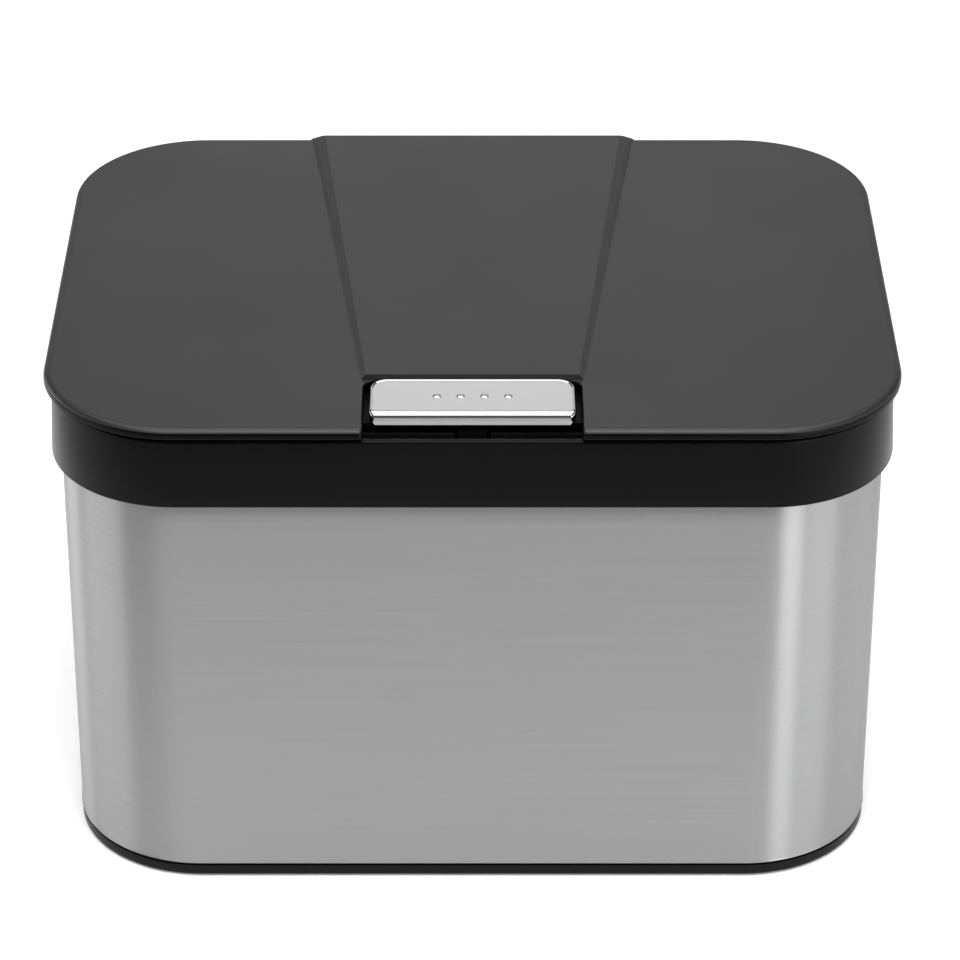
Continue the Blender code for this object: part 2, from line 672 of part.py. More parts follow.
# ---- bucket ------------------------------------------------------------------------------
def inner_bucket():
    """Lift-out bucket: hangs by its flange on the collar's ledge."""
    wall = COLLAR_INNER - LEDGE_WIDTH - BUCKET_SIDE_CLEARANCE
    flange = wall + BUCKET_FLANGE_WIDTH
    flange_low = LEDGE_TOP_Z + TOUCH
    top = flange_low + BUCKET_FLANGE_THICK
    pan_floor = FOOT_PROUD + BASE_FLOOR_LIFT + BASE_FLOOR + FOOT_STEM_ABOVE
    low = pan_floor + BUCKET_FLOOR_CLEARANCE
    foot = wall - BUCKET_TAPER
    thick = BUCKET_WALL
    rounding = BUCKET_FOOT_ROUND
    corner = COLLAR_CORNER - COLLAR_WALL - LEDGE_WIDTH + LEDGE_CORNER_EASE - BUCKET_SIDE_CLEARANCE
    lost = rounding * DIAGONAL
    section = [
        (foot - rounding, low), (foot - lost, low + lost),
        (foot, low + rounding), (wall, flange_low), (flange, flange_low), (flange, top),
        (wall - thick, top), (foot - thick, low + rounding),
        (foot - thick - lost, low + thick + (rounding - thick) * DIAGONAL),
        (foot - thick - rounding, low + thick)]
    rings = [ring(shell_outline(o, max(corner + o - wall, BUCKET_LEAST_CORNER)), z) for o, z in section]
    bucket = loft("inner_bucket", rings)
    for side in (-1, 1):
        edge = HALF_W + flange
        x0, x1 = sorted((side * (edge - LIFT_NOTCH_DEPTH), side * (edge + PAST)))
        notch = box(f"lift_notch_{side}", x0, x1, -LIFT_NOTCH_WIDTH / 2, LIFT_NOTCH_WIDTH / 2,
                    flange_low - PAST, top + PAST)
        cut(bucket, notch)
    return dress(bucket, bucket_plastic())


# ---- lid ---------------------------------------------------------------------------------
def panel_half(y):
    """Half width of the raised panel's top at a given y."""
    share = (y - NOTCH_REAR_Y) / (LID_HALF_D - NOTCH_REAR_Y)
    front = NOTCH_HALF + PANEL_FRONT_REACH - PANEL_FRONT_SLOPE
    return front + (PANEL_REAR_HALF - front) * share


def panel_ring(z, share):
    """Panel outline: share 0 is the foot of its sloped sides, 1 is its flat top."""
    front = NOTCH_REAR_Y + PANEL_FRONT_INSET
    rear = LID_HALF_D - PANEL_REAR_INSET
    front_half = panel_half(front) + PANEL_FRONT_SLOPE * (1 - share)
    rear_half = panel_half(rear) + PANEL_REAR_SLOPE * (1 - share)
    front += PANEL_FRONT_LEAN * share
    rear -= PANEL_REAR_LEAN * share
    return [(rear_half, rear, z), (-rear_half, rear, z), (-front_half, front, z),
            (front_half, front, z)]


def liner_box():
    """x and y limits of the lid liner."""
    half = HALF_W - LINER_SIDE_INSET
    return -half, half, -HALF_D + LINER_FRONT_INSET, HALF_D - LINER_REAR_INSET


def tray_box():
    """x and y limits of the mechanism tray's inside."""
    half = FLANGE_HALF + TRAY_SIDE_ROOM
    return -half, half, FLANGE_FRONT_Y - TRAY_END_ROOM, FLANGE_REAR_Y + TRAY_END_ROOM


def screw_places():
    x0, x1, y0, y1 = liner_box()
    inner_x = tray_box()[1] + LINER_WALL + BOSS_RADIUS + SCREW_TRAY_ROOM
    along = SCREW_EDGE + SCREW_CORNER_EASE
    places = [(side * (x1 - SCREW_EDGE), y) for side in (-1, 1) for y in (y0 + along, y1 - along)]
    return places + [(-inner_x, y0 + SCREW_EDGE), (inner_x, y0 + SCREW_EDGE)]


def ear_profile():
    """Goose-necked hinge ear in (y, z): a ring round the axis, with a neck up to the lid."""
    top = LID_UNDER_Z + LID_WALL / 4 - HINGE_Z
    start, finish = (math.radians(a) for a in EAR_ARC)
    angles = [start + (finish - start) * i / EAR_STEPS for i in range(EAR_STEPS + 1)]
    arc = [(EAR_RADIUS * math.cos(a), EAR_RADIUS * math.sin(a)) for a in angles]
    local = arc + [(-EAR_NECK_REAR, top), (-EAR_NECK_REAR - EAR_NECK_THICK, top)]
    return [(HINGE_Y + y, HINGE_Z + z) for y, z in local]


def lid_shell():
    """Outer lid: plate and edge in one, notch for the button, raised tapering panel, ears."""
    rings = [ring(lid_outline(0.0, 0.0), LID_BOTTOM_Z)]
    for step in range(LID_ROUND_STEPS + 1):
        angle = math.radians(90) * step / LID_ROUND_STEPS
        lost = 1 - math.cos(angle)
        rings.append(ring(lid_outline(LID_EDGE_ROUND * lost, NOTCH_EDGE_ROUND * lost),
                          LID_TOP_Z - LID_EDGE_ROUND * (1 - math.sin(angle))))
    lid = loft("lid_shell", rings)
    hollow = prism("lid_hollow", lid_outline(LID_WALL, LID_WALL), LID_BOTTOM_Z - PAST, LID_UNDER_Z)
    cut(lid, hollow)
    panel = loft("lid_panel", [panel_ring(LID_TOP_Z - PANEL_ROOT, PANEL_ROOT_SHARE),
                               panel_ring(LID_TOP_Z, 0.0), panel_ring(LID_TOP_Z + PANEL_RISE, 1.0)])
    add(lid, panel)
    for number, (x, y) in enumerate(screw_places(), 1):
        boss = turned(f"screw_boss_{number}", [(BOSS_RADIUS, LINER_TOP_Z + TOUCH),
                                               (BOSS_RADIUS, LID_UNDER_Z + LID_WALL / 4)])
        hole = turned(f"screw_hole_{number}", [
            (SCREW_SHANK + SCREW_CLEARANCE, LINER_TOP_Z - PAST),
            (SCREW_SHANK + SCREW_CLEARANCE, LID_TOP_Z - BOSS_HOLE_SKIN)])
        boss.location = (x, y, 0)
        hole.location = (x, y, 0)
        add(lid, boss)
        cut(lid, hole)
    for side in (-1, 1):
        x0, x1 = hinge_spans(side)["ear"]
        add(lid, side_prism(f"ear_{side}", ear_profile(), x0, x1))
        cut(lid, cross_pin(f"ear_bore_{side}", PIN_RADIUS + PIN_CLEARANCE, x0 - PAST, x1 + PAST,
                           HINGE_Y, HINGE_Z))
    return dress(lid, lid_plastic())


def lid_liner():
    """Inner cover: shallow pan under the lid, with a deeper tray for the button and latch."""
    x0, x1, y0, y1 = liner_box()
    rim_top = LID_UNDER_Z - TOUCH
    pan = prism("lid_liner", rectangle(x0, x1, y0, y1, LINER_CORNER, CORNER_STEPS),
                LINER_BOTTOM_Z, rim_top)
    wall = LINER_WALL
    hollow = prism("liner_hollow", rectangle(x0 + wall, x1 - wall, y0 + wall, y1 - wall,
                                             LINER_CORNER - wall, CORNER_STEPS),
                   LINER_TOP_Z, rim_top + PAST)
    cut(pan, hollow)
    tx0, tx1, ty0, ty1 = tray_box()
    add(pan, box("tray_outside", tx0 - wall, tx1 + wall, ty0 - wall, ty1 + wall,
                 TRAY_BOTTOM_Z, LINER_TOP_Z - TRAY_BELOW_PAN))
    cut(pan, box("tray_inside", tx0, tx1, ty0, ty1, TRAY_FLOOR_Z, rim_top + PAST))
    add_latch_ears(pan)
    slot_half = LATCH_ARM_HALF + LATCH_SLOT_SIDE
    cut(pan, box("latch_slot", -slot_half, slot_half, ty0 - wall - PAST,
                 LATCH_Y - LATCH_SLOT_AHEAD, TRAY_BOTTOM_Z - PAST, rim_top + PAST))
    for side in (-1, 1):
        radius = GUIDE_RADIUS + GUIDE_CLEARANCE
        hole = turned(f"guide_hole_{side}", [(radius, TRAY_BOTTOM_Z - PAST),
                                             (radius, TRAY_FLOOR_Z + PAST)])
        hole.location = (side * GUIDE_X, SPRING_Y, 0)
        cut(pan, hole)
    for number, (x, y) in enumerate(screw_places(), 1):
        radius = SCREW_SHANK + SCREW_CLEARANCE
        hole = turned(f"liner_hole_{number}", [(radius, LINER_BOTTOM_Z - PAST),
                                               (radius, LINER_TOP_Z + PAST)])
        hole.location = (x, y, 0)
        cut(pan, hole)
    return dress(pan, liner_plastic())


def latch_ear_spans():
    """x ranges of the two ears that hold the latch pin."""
    left = -(LATCH_HUB_HALF + SIDE_CLEARANCE)
    right = LATCH_HUB_HALF + LATCH_SPRING_ROOM
    return (left - LATCH_EAR_THICK, left), (right, right + LATCH_EAR_THICK)


def add_latch_ears(pan):
    for number, (x0, x1) in enumerate(latch_ear_spans(), 1):
        add(pan, box(f"latch_ear_{number}", x0, x1, LATCH_Y - LATCH_EAR_HALF,
                     LATCH_Y + LATCH_EAR_HALF, TRAY_FLOOR_Z - TRAY_FLOOR / 2,
                     LATCH_Z + LATCH_EAR_ABOVE))
    ends = latch_ear_spans()[0] + latch_ear_spans()[1]
    cut(pan, cross_pin("latch_bore", LATCH_PIN_RADIUS + PIN_CLEARANCE, min(ends) - PAST,
                       max(ends) + PAST, LATCH_Y, LATCH_Z))


def liner_screws():
    """Screws from below, through the liner into the lid's bosses."""
    low = LINER_BOTTOM_Z - TOUCH
    tip = LID_TOP_Z - BOSS_HOLE_SKIN - TOUCH
    across, deep = SCREW_HEAD_CHAMFERS
    profile = [(SCREW_HEAD - across, low - SCREW_HEAD_THICK), (SCREW_HEAD, low - deep),
               (SCREW_HEAD, low), (SCREW_SHANK, low), (SCREW_SHANK, tip - SCREW_TIP),
               (SCREW_SHANK / 2, tip)]
    screws = []
    for number, (x, y) in enumerate(screw_places(), 1):
        screw = turned(f"liner_screw_{number}", profile, SCREW_STEPS)
        screw.location = (x, y, 0)
        screws.append(dress(screw, spring_steel()))
    return screws


# ---- button ------------------------------------------------------------------------------
def button_outline(inset, front_inset):
    """Button outline in plan, offset inwards; the front edge has its own inset."""
    half = BUTTON_HALF - inset
    rear = (max(BUTTON_CORNER - inset, BUTTON_LEAST_CORNER), SMALL_STEPS)
    front = (max(BUTTON_FRONT_CORNER - inset, BUTTON_LEAST_CORNER), SMALL_STEPS)
    y1 = BUTTON_REAR_Y - inset
    y0 = BUTTON_FRONT_Y + front_inset
    return rounded_polygon([(half, y1, *rear), (-half, y1, *rear),
                            (-half, y0, *front), (half, y0, *front)])


def button_cap():
    """Polished metal cap with a rolled front edge."""
    low = BUTTON_TOP_Z - BUTTON_HEIGHT
    round_z = BUTTON_TOP_Z - BUTTON_FRONT_ROUND
    rings = [ring(button_outline(0.0, 0.0), low), ring(button_outline(0.0, 0.0), round_z)]
    for k in range(1, BUTTON_FRONT_STEPS + 1):
        angle = math.radians(90) * k / BUTTON_FRONT_STEPS
        rise = BUTTON_FRONT_ROUND * math.sin(angle)
        back = BUTTON_FRONT_ROUND * (1 - math.cos(angle))
        side = BUTTON_EDGE_ROUND if k == BUTTON_FRONT_STEPS else 0.0
        rings.append(ring(button_outline(side, back), round_z + rise))
    cap = loft("button_cap", rings)
    hollow = prism("button_hollow", button_outline(BUTTON_WALL, BUTTON_FRONT_WALL),
                   low - PAST, BUTTON_TOP_Z - BUTTON_TOP)
    cut(cap, hollow)
    return dress(cap, polished())


def button_carrier():
    """Plastic slider under the cap: flange, core, guide posts, spring posts and pusher."""
    core_top = BUTTON_TOP_Z - BUTTON_TOP - TOUCH
    flange = box("button_carrier", -FLANGE_HALF, FLANGE_HALF, FLANGE_FRONT_Y, FLANGE_REAR_Y,
                 FLANGE_BOTTOM_Z, FLANGE_TOP_Z)
    core = prism("carrier_core", button_outline(BUTTON_WALL + TOUCH, BUTTON_FRONT_WALL + TOUCH),
                 FLANGE_BOTTOM_Z + CARRIER_ROOT, core_top)
    add(flange, core)
    posts = ((SPRING_POST_X, SPRING_POST_RADIUS, TRAY_FLOOR_Z + BUTTON_TRAVEL + SPRING_POST_CLEARANCE),
             (GUIDE_X, GUIDE_RADIUS, TRAY_BOTTOM_Z - GUIDE_BELOW))
    for side in (-1, 1):
        for x, radius, low in posts:
            post = turned(f"carrier_post_{side}_{x}", [(radius, low),
                                                       (radius, FLANGE_TOP_Z - CARRIER_ROOT)])
            post.location = (side * x, SPRING_Y, 0)
            add(flange, post)
    pusher_front = FLANGE_FRONT_Y + PUSHER_INSET
    add(flange, box("carrier_pusher", -PUSHER_HALF, PUSHER_HALF, pusher_front,
                    pusher_front + PUSHER_THICK, FLANGE_BOTTOM_Z - PUSHER_HEIGHT,
                    FLANGE_BOTTOM_Z + CARRIER_ROOT))
    cut(flange, box("carrier_window", -CARRIER_WINDOW_HALF, CARRIER_WINDOW_HALF,
                    LATCH_Y - CARRIER_WINDOW_AHEAD, LATCH_Y + CARRIER_WINDOW_BEHIND,
                    FLANGE_BOTTOM_Z - PAST, core_top + PAST))
    return dress(flange, black_plastic())


def compression_points(radius, z0, z1, turns):
    count = turns * COIL_STEPS
    step = 2 * math.pi / COIL_STEPS
    return [(radius * math.cos(step * i), radius * math.sin(step * i),
             z0 + (z1 - z0) * i / count) for i in range(count + 1)]


def button_springs(axis):
    """Compression springs between the tray's floor and the carrier's flange."""
    margin = SPRING_WIRE + TOUCH
    points = compression_points(SPRING_COIL, TRAY_FLOOR_Z + margin, FLANGE_BOTTOM_Z - margin,
                                SPRING_TURNS)
    for side, name in ((-1, "left"), (1, "right")):
        spring = wire("button_spring_" + name, points, SPRING_WIRE)
        spring.location = (side * SPRING_POST_X, SPRING_Y, 0)
        hang(dress(spring, spring_steel()), axis)


# ---- latch -------------------------------------------------------------------------------
def latch_lever():
    """Bell-crank latch: arm under the pusher, leg with a forward nose, hub on the pin."""
    tip = NOSE_TIP_Y
    leg_front = tip + LATCH_NOSE_LENGTH
    leg_rear = leg_front + LATCH_LEG_THICK
    arm_rear = LATCH_Y - LATCH_ARM_AHEAD
    arm_top = LATCH_Z + LATCH_ARM_TOP
    arm_low = arm_top - LATCH_ARM_THICK
    nose_top = LATCH_Z + LATCH_NOSE_TOP
    nose_low = nose_top - LATCH_NOSE_THICK
    chamfer_run, chamfer_rise = LATCH_NOSE_CHAMFER
    profile = [(tip, nose_top), (tip, nose_top - chamfer_rise), (tip + chamfer_run, nose_low),
               (leg_rear, nose_low), (leg_rear, arm_low), (arm_rear, arm_low),
               (arm_rear, arm_top), (leg_front, arm_top), (leg_front, nose_top)]
    lever = side_prism("latch_lever", profile, -LATCH_ARM_HALF, LATCH_ARM_HALF)
    inset = LATCH_WEB_INSET
    add(lever, box("latch_web", -LATCH_HUB_HALF + inset, LATCH_HUB_HALF - inset, arm_rear - PAST,
                   LATCH_Y, arm_low + inset, arm_top - inset))
    add(lever, cross_pin("latch_hub", LATCH_HUB, -LATCH_HUB_HALF, LATCH_HUB_HALF, LATCH_Y, LATCH_Z))
    cut(lever, cross_pin("latch_hub_bore", LATCH_PIN_RADIUS + PIN_CLEARANCE,
                         -LATCH_ARM_HALF - PAST, LATCH_ARM_HALF + PAST, LATCH_Y, LATCH_Z))
    return dress(lever, black_plastic())


def latch_pin():
    ends = latch_ear_spans()[0] + latch_ear_spans()[1]
    pin = cross_pin("latch_pin", LATCH_PIN_RADIUS, min(ends), max(ends), LATCH_Y, LATCH_Z)
    return dress(pin, spring_steel())


def latch_spring():
    """Small torsion spring beside the latch's hub, holding the nose forward."""
    margin = LATCH_SPRING_WIRE + TOUCH
    inner = LATCH_HUB_HALF + margin
    outer = latch_ear_spans()[1][0] - margin
    foot = LATCH_Z - TRAY_FLOOR_Z - margin
    angles = [math.radians(a) for a in LATCH_SPRING_ANGLES]
    points = torsion_points(outer, inner, LATCH_SPRING_COIL, LATCH_SPRING_TURNS, *angles, foot,
                            LATCH_SPRING_LEG)
    spring = wire("latch_spring", points, LATCH_SPRING_WIRE)
    spring.location = (0, LATCH_Y, LATCH_Z)
    return dress(spring, spring_steel())


# ---- assembly ----------------------------------------------------------------------------
def clear_scene():
    for obj in list(bpy.data.objects):
        bpy.data.objects.remove(obj, do_unlink=True)


def main():
    clear_scene()
    base_pan()
    feet()
    body_sleeve()
    collar()
    lid_bumpers()
    hinge_pins()
    lid_springs()
    inner_bucket()

    lid_axis = empty("lid_axis", Vector((0, HINGE_Y, HINGE_Z)))
    for piece in [lid_shell(), lid_liner(), latch_pin(), latch_spring()] + liner_screws():
        hang(piece, lid_axis)
    button_springs(lid_axis)

    button_axis = empty("button_axis", Vector((0, SPRING_Y, LID_TOP_Z)), lid_axis)
    for piece in (button_cap(), button_carrier()):
        hang(piece, button_axis)

    latch_axis = empty("latch_axis", Vector((0, LATCH_Y, LATCH_Z)), lid_axis)
    hang(latch_lever(), latch_axis)


main()
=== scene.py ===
import json
import math

import bmesh
import bpy
from mathutils import Matrix, Vector


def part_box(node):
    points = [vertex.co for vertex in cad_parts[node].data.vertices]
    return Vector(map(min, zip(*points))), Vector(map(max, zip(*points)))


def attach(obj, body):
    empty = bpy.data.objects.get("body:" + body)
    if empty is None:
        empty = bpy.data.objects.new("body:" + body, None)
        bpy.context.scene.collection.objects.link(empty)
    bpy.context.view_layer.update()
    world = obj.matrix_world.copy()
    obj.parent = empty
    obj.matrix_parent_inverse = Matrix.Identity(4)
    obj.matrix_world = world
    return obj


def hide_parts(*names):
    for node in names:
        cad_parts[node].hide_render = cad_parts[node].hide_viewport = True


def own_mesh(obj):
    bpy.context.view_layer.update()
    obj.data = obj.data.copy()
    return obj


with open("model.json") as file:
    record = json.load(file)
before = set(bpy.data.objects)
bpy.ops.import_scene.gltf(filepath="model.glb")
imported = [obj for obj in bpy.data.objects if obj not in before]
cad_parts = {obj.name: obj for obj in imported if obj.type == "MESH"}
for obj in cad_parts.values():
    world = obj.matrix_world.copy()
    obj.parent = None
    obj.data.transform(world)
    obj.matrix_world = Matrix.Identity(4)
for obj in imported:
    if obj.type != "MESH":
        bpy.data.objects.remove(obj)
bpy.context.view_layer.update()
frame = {"nodes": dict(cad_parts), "record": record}

# ---- sizes read from the frame ------------------------------------------------------------
SLEEVE_LO, SLEEVE_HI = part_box("body_sleeve")
COLLAR_LO, COLLAR_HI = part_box("collar")
LID_LO, LID_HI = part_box("lid_shell")
PAN_LO, PAN_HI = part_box("base_pan")
BUCKET_LO, BUCKET_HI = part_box("inner_bucket")
CAP_LO, CAP_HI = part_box("button_cap")
LINER_TOP_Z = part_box("lid_liner")[1][2]
JOINTS = {joint["name"]: joint for joint in frame["record"]["behaviour"]["joints"]}
HINGE_Y, HINGE_Z = JOINTS["lid_hinge"]["pos_m"][1:]
LATCH_Z = JOINTS["latch_pivot"]["pos_m"][2]
HALF_W = SLEEVE_HI[0]
HALF_D = SLEEVE_HI[1]

# ---- smoothness of the curves (steps) and of the shading (degrees) -------------------------
FINE_CORNER = 36                 # steps round each large corner
SMALL_CORNER = 10
ROUND_STEPS = 6
FINE_STEPS = 3
CIRCLE_STEPS = 32
SHARP = 30                       # edges that turn more than this stay crisp
LID_SHARP = 18
BUTTON_SHARP = 21

# ---- sizes shared by several pieces (metres) ------------------------------------------------
TOUCH = 0.0003                   # gap between pieces that touch
FINE_ROUND = 0.0004              # smallest rounding of moulded edges
ROOT = 0.0012                    # ribs and bosses sink this far into what carries them
PAST = 0.0020                    # cutters reach this far past the surface
PIN_BORE = 0.00165               # radius of the hinge bores
FLAT_LOOP = 0.0003               # narrow flat band that keeps the shading of a plate level

# ---- sleeve and base ------------------------------------------------------------------------
SLEEVE_CORNER = 0.0470
SLEEVE_WALL = 0.0006
SLOT = -SLEEVE_WALL - TOUCH      # inner face of the sleeve's slot, in from the sleeve's outside
HEM_FLARE = 0.0003               # the sheet's lower edge stands out by this
HEM_RISE = 0.0012                # over this height
HEM_ROUND = 0.0002
HEM_MIDDLE = (0.3, 0.6)          # shares of the flare and of its height half way up
GROOVE = 0.0008                  # shadow line under the steel
PAN_WALL = 0.0020
PAN_FLOOR = (0.0012, 0.0032)     # underside and top of the floor, above the rim's underside
PAN_FILLET = 0.0015
RIM_WIDTH = 0.0060
RIM_ROUND = 0.0003
RIM_TOP_ROUND = 0.0003
STEM_HOLE = (0.0028, 0.010)      # radius and top of the holes for the feet's stems

# ---- collar ---------------------------------------------------------------------------------
COLLAR_CORNER = 0.0460
COLLAR_WALL = 0.0024
COLLAR_HEIGHT = 0.0259
COLLAR_STEP = 0.0009             # the outside leans in by this towards the top
COLLAR_ROUND = 0.0012
COLLAR_FOOT_ROUND = 0.0006
COLLAR_TOP_Z = COLLAR_HI[2]
COLLAR_BOTTOM_Z = COLLAR_TOP_Z - COLLAR_HEIGHT
LEDGE_WIDTH = 0.0131
LEDGE_TOP_Z = COLLAR_TOP_Z - 0.0165
LEDGE_CORNER_EASE = 0.0080       # the ledge's inner corners are rounder than parallel ones
LEDGE_FILLET = 0.0008
BOSS_WIDTH = 0.0050
BOSS_RADIUS = 0.0031
BOSS_FRONT = 0.0049              # front of a boss ahead of the hinge axis
BOSS_ARC_AHEAD = 0.0018          # centre of its rounded top ahead of the axis
BOSS_REAR_FLAT = 0.0020
BOSS_ARC_STEP = 15
EAR_START = 0.0054               # near side of the ear from the pin's end
EAR_WIDTH = 0.0080
CATCH_HALF = 0.0090
CATCH_BELOW = 0.0050             # underside of the catch lip below the latch's axis
CATCH_REACH = 0.0039
CATCH_HEIGHT = 0.0020
CATCH_CHAMFER = 0.0012
POST_RADIUS = 0.0036
POST_TOP_Z = COLLAR_TOP_Z - 0.0015
WEB_HALF = 0.0012
BUMPER_HOLE = (0.0017, 0.0053)   # radius and depth

# ---- bucket ---------------------------------------------------------------------------------
BUCKET_GAP = 0.0006              # bucket to the ledge's inner edge
BUCKET_WALL = 0.0018
BUCKET_TAPER = 0.0060            # foot in from the top
BUCKET_FOOT_ROUND = 0.0060
BUCKET_LEAST_CORNER = 0.0120
FLANGE_REACH = 0.0042
FLANGE_DROP = 0.0022             # flange's underside below its top
FLANGE_UNDER_ROUND = 0.0006
FLANGE_TOP_ROUND = 0.0008
FINGER_HALF = 0.0300             # finger notches in the flange's sides
FINGER_DEPTH = 0.0030
FINGER_CORNER = 0.0012
FINGER_CUT = 0.0040

# ---- lid ------------------------------------------------------------------------------------
LID_CORNER = 0.0480
LID_WALL = 0.0020
LID_EDGE = 0.0037
LID_ROUND = 0.0026
LID_ROUND_STEPS = 10
LID_FOOT_ROUND = 0.0003
NOTCH_ROUND = 0.0006
NOTCH_HALF = 0.0376
NOTCH_REAR_Y = LID_LO[1] + 0.0356
NOTCH_CORNER = 0.0050
NOTCH_MOUTH_ROUND = 0.0012
NOTCH_LEAST_ROUND = 0.0002
PANEL_RISE = 0.0018
PANEL_ROOT = 0.0010
PANEL_ROOT_SHARE = -0.2          # slope carried on down into the plate
PANEL_SOFT = 0.0005              # height of the soft edge round the panel's top
PANEL_FRONT_HALF = NOTCH_HALF - 0.0005
PANEL_FRONT_SLOPE = 0.0015
PANEL_FRONT_INSET = 0.0002       # panel's front face behind the notch
PANEL_FRONT_LEAN = 0.0006
PANEL_REAR_HALF = 0.0578
PANEL_REAR_SLOPE = 0.0045
PANEL_REAR_INSET = 0.0008
PANEL_REAR_LEAN = 0.0007
SKIRT_SHADE_TILT = 0.45                 # faces steeper than this get the collar's darker black: painted shade on the lid's skirt
SCREW_BOSS = (0.0032, 0.0039)    # radius, and depth below the liner's top
SCREW_HOLE = (0.0015, 0.0060)
SCREW_ROOF = 0.0015              # material left above a screw hole
EAR_RADIUS = 0.0032
EAR_ARC = (215, 485, 10)         # degrees: start, finish, step
EAR_NECK = (0.0068, 0.0057)      # front of the neck ahead of the axis, and its depth
LID_TOP_Z = LID_HI[2] - PANEL_RISE
LID_BOTTOM_Z = LID_TOP_Z - LID_EDGE
LID_UNDER_Z = LID_TOP_Z - LID_WALL

# ---- button ---------------------------------------------------------------------------------
BUTTON_ROLL = 0.0022             # radius of the rolled front
BUTTON_ROLL_STEPS = 14
BUTTON_DRAFT = math.radians(10)  # front face leans forward going down
BUTTON_RIM = 0.0006              # rounding of the other top edges
BUTTON_BEVEL = 0.0005            # bevel between the rim and the satin top
BUTTON_FRONT_BEVEL = 0.0003
BUTTON_DISH = 0.0002             # satin top below the rim
BUTTON_FOOT_ROUND = 0.0015       # rounding of the sides' lower edge
BUTTON_CORNER = 0.0060
BUTTON_FRONT_CORNER = 0.0020
BUTTON_LEAST_CORNER = 0.0006
BUTTON_WALL = 0.0010
BUTTON_FRONT_WALL = 0.0030
BUTTON_TOP = 0.0012
PIP_COUNT = 4
PIP_SPACING = 0.0082
PIP_RADIUS = 0.0015
PIP_RISE = 0.0006
PIP_ROOT = 0.0004
PIP_SHIFT = -0.0009
PIP_STEPS = 5

# ---- finishes -------------------------------------------------------------------------------
BLACKS = {                       # colour, roughness, specular, grain
    "collar_black": ((0.0014, 0.0014, 0.0016), 0.30, 0.09, 0.05),
    "base_black": ((0.0030, 0.0030, 0.0032), 0.35, 0.14, 0.05),
    "carrier_black": ((0.0015, 0.0015, 0.0015), 0.50, 0.06, 0.05),
    "liner_black": ((0.0050, 0.0050, 0.0052), 0.50, 0.10, 0.12),
    "latch_black": ((0.0040, 0.0040, 0.0040), 0.45, 0.12, 0.08),
    "bucket_grey": ((0.050, 0.052, 0.056), 0.45, 0.45, 0.10),
}
BLACK_SPREAD = 1.25              # lighter clouds against the colour
BLACK_ROUGH_SPREAD = 0.03
LID_TONES = ((0.0095, 0.0095, 0.0100), (0.0112, 0.0112, 0.0117))
LID_ROUGH = (0.38, 0.43)
STEEL_TONES = ((0.323, 0.323, 0.326), (0.347, 0.347, 0.350))
STEEL_ROUGH = (0.38, 0.40)
BRUSH_LINES = (28.0, 28.0, 5200.0)     # stretch of the fine lines along each axis
BRUSH_BANDS = (9.0, 9.0, 700.0)
CHROME_TONES = ((0.515, 0.515, 0.520), (0.545, 0.545, 0.550))
CHROME_ROUGH = (0.07, 0.26)            # polished edges, satin top
CHROME_LEVEL = (0.93, 0.995)           # upward share of the normal between the two
WIRE_COLOUR = (0.52, 0.52, 0.53)
WIRE_ROUGH = (0.28, 0.38)
RUBBER_TONES = ((0.013, 0.013, 0.013), (0.020, 0.020, 0.020))

# ---- light, floor and camera ----------------------------------------------------------------
SKY_FRONT = 0.18
SKY_REAR = 0.09
SKY_LEFT_SHARE = 0.8
FLOOR_NEAR = 0.93
# floor colour well in front of the bin: darker, as painted shade that the upper steel reflects
FLOOR_FAR_SHADE = 0.60
# the floor glows a little: painted light that washes out the bin's shadows on it
FLOOR_GLOW = 0.12
FLOOR_SHADE_FADE = (-0.34, -0.27)
LIGHTS = {                       # place, target, size, power
    "overhead": ((0, 0.2, 1.9), (0, 0, 0), (2.4, 1.8), 33.5),
    "front_key": ((0, -1.0, 1.8), (0, -0.2, 0), (1.6, 0.8), 26.0),
    "rear_softbox": ((0, 1.9, 1.15), (0, 0, 0.15), (0.9, 0.8), 2.85),
    "rear_left": ((-0.91, 1.78, 0.75), (0, 0, 0.18), (1.0, 0.7), 1.7),
    "rear_right": ((0.91, 1.78, 0.75), (0, 0, 0.18), (1.0, 0.7), 1.7),
}
CARDS = {                        # azimuth from the front towards +X (degrees), width, power
    "right_strip": (32, 0.30, 2.4),
    "right_mid": (58, 0.50, 2.2),
    "right_far": (96, 0.80, 1.5),
    "left_box": (-80, 0.75, 2.1),
    "left_strip": (-118, 0.35, 1.6),
}
CARD_HEIGHT = 0.56
CARD_LIFT = 0.30                 # middle of a card above the floor
CARD_DISTANCE = 1.0
SKY_FADE = (-0.8, 0.4)           # front to rear
SKY_ACROSS = (-0.9, 0.6)         # left to right
FLOOR_HALF = 12.0
FLOOR_Z = -0.0001                # a hair under the feet
CAMERA_LENS = 150.0
CAMERA_SHIFT = 0.00783
CAMERA_PITCH = math.radians(30.4)
CAMERA_DISTANCE = 1.5
CAMERA_TARGET_Z = 0.1023


# ---- outlines and solids ------------------------------------------------------------------
def rounded_polygon(corners):
    """Points of a counter-clockwise polygon whose corners (x, y, radius, steps) are arcs."""
    points = []
    count = len(corners)
    for i, (x, y, radius, steps) in enumerate(corners):
        here = Vector((x, y))
        back = (Vector(corners[i - 1][:2]) - here).normalized()
        ahead = (Vector(corners[(i + 1) % count][:2]) - here).normalized()
        if radius <= 0:
            points.append(here)
            continue
        half = back.angle(ahead) / 2
        centre = here + (back + ahead).normalized() * (radius / math.sin(half))
        start = here + back * (radius / math.tan(half)) - centre
        turn = math.pi - 2 * half
        if back.cross(ahead) > 0:
            turn = -turn
        for k in range(steps + 1):
            points.append(centre + Matrix.Rotation(turn * k / steps, 2) @ start)
    return points


def rectangle(x0, x1, y0, y1, radius=0.0, steps=SMALL_CORNER):
    """Rectangle with equal round corners."""
    return rounded_polygon([(x1, y1, radius, steps), (x0, y1, radius, steps),
                            (x0, y0, radius, steps), (x1, y0, radius, steps)])


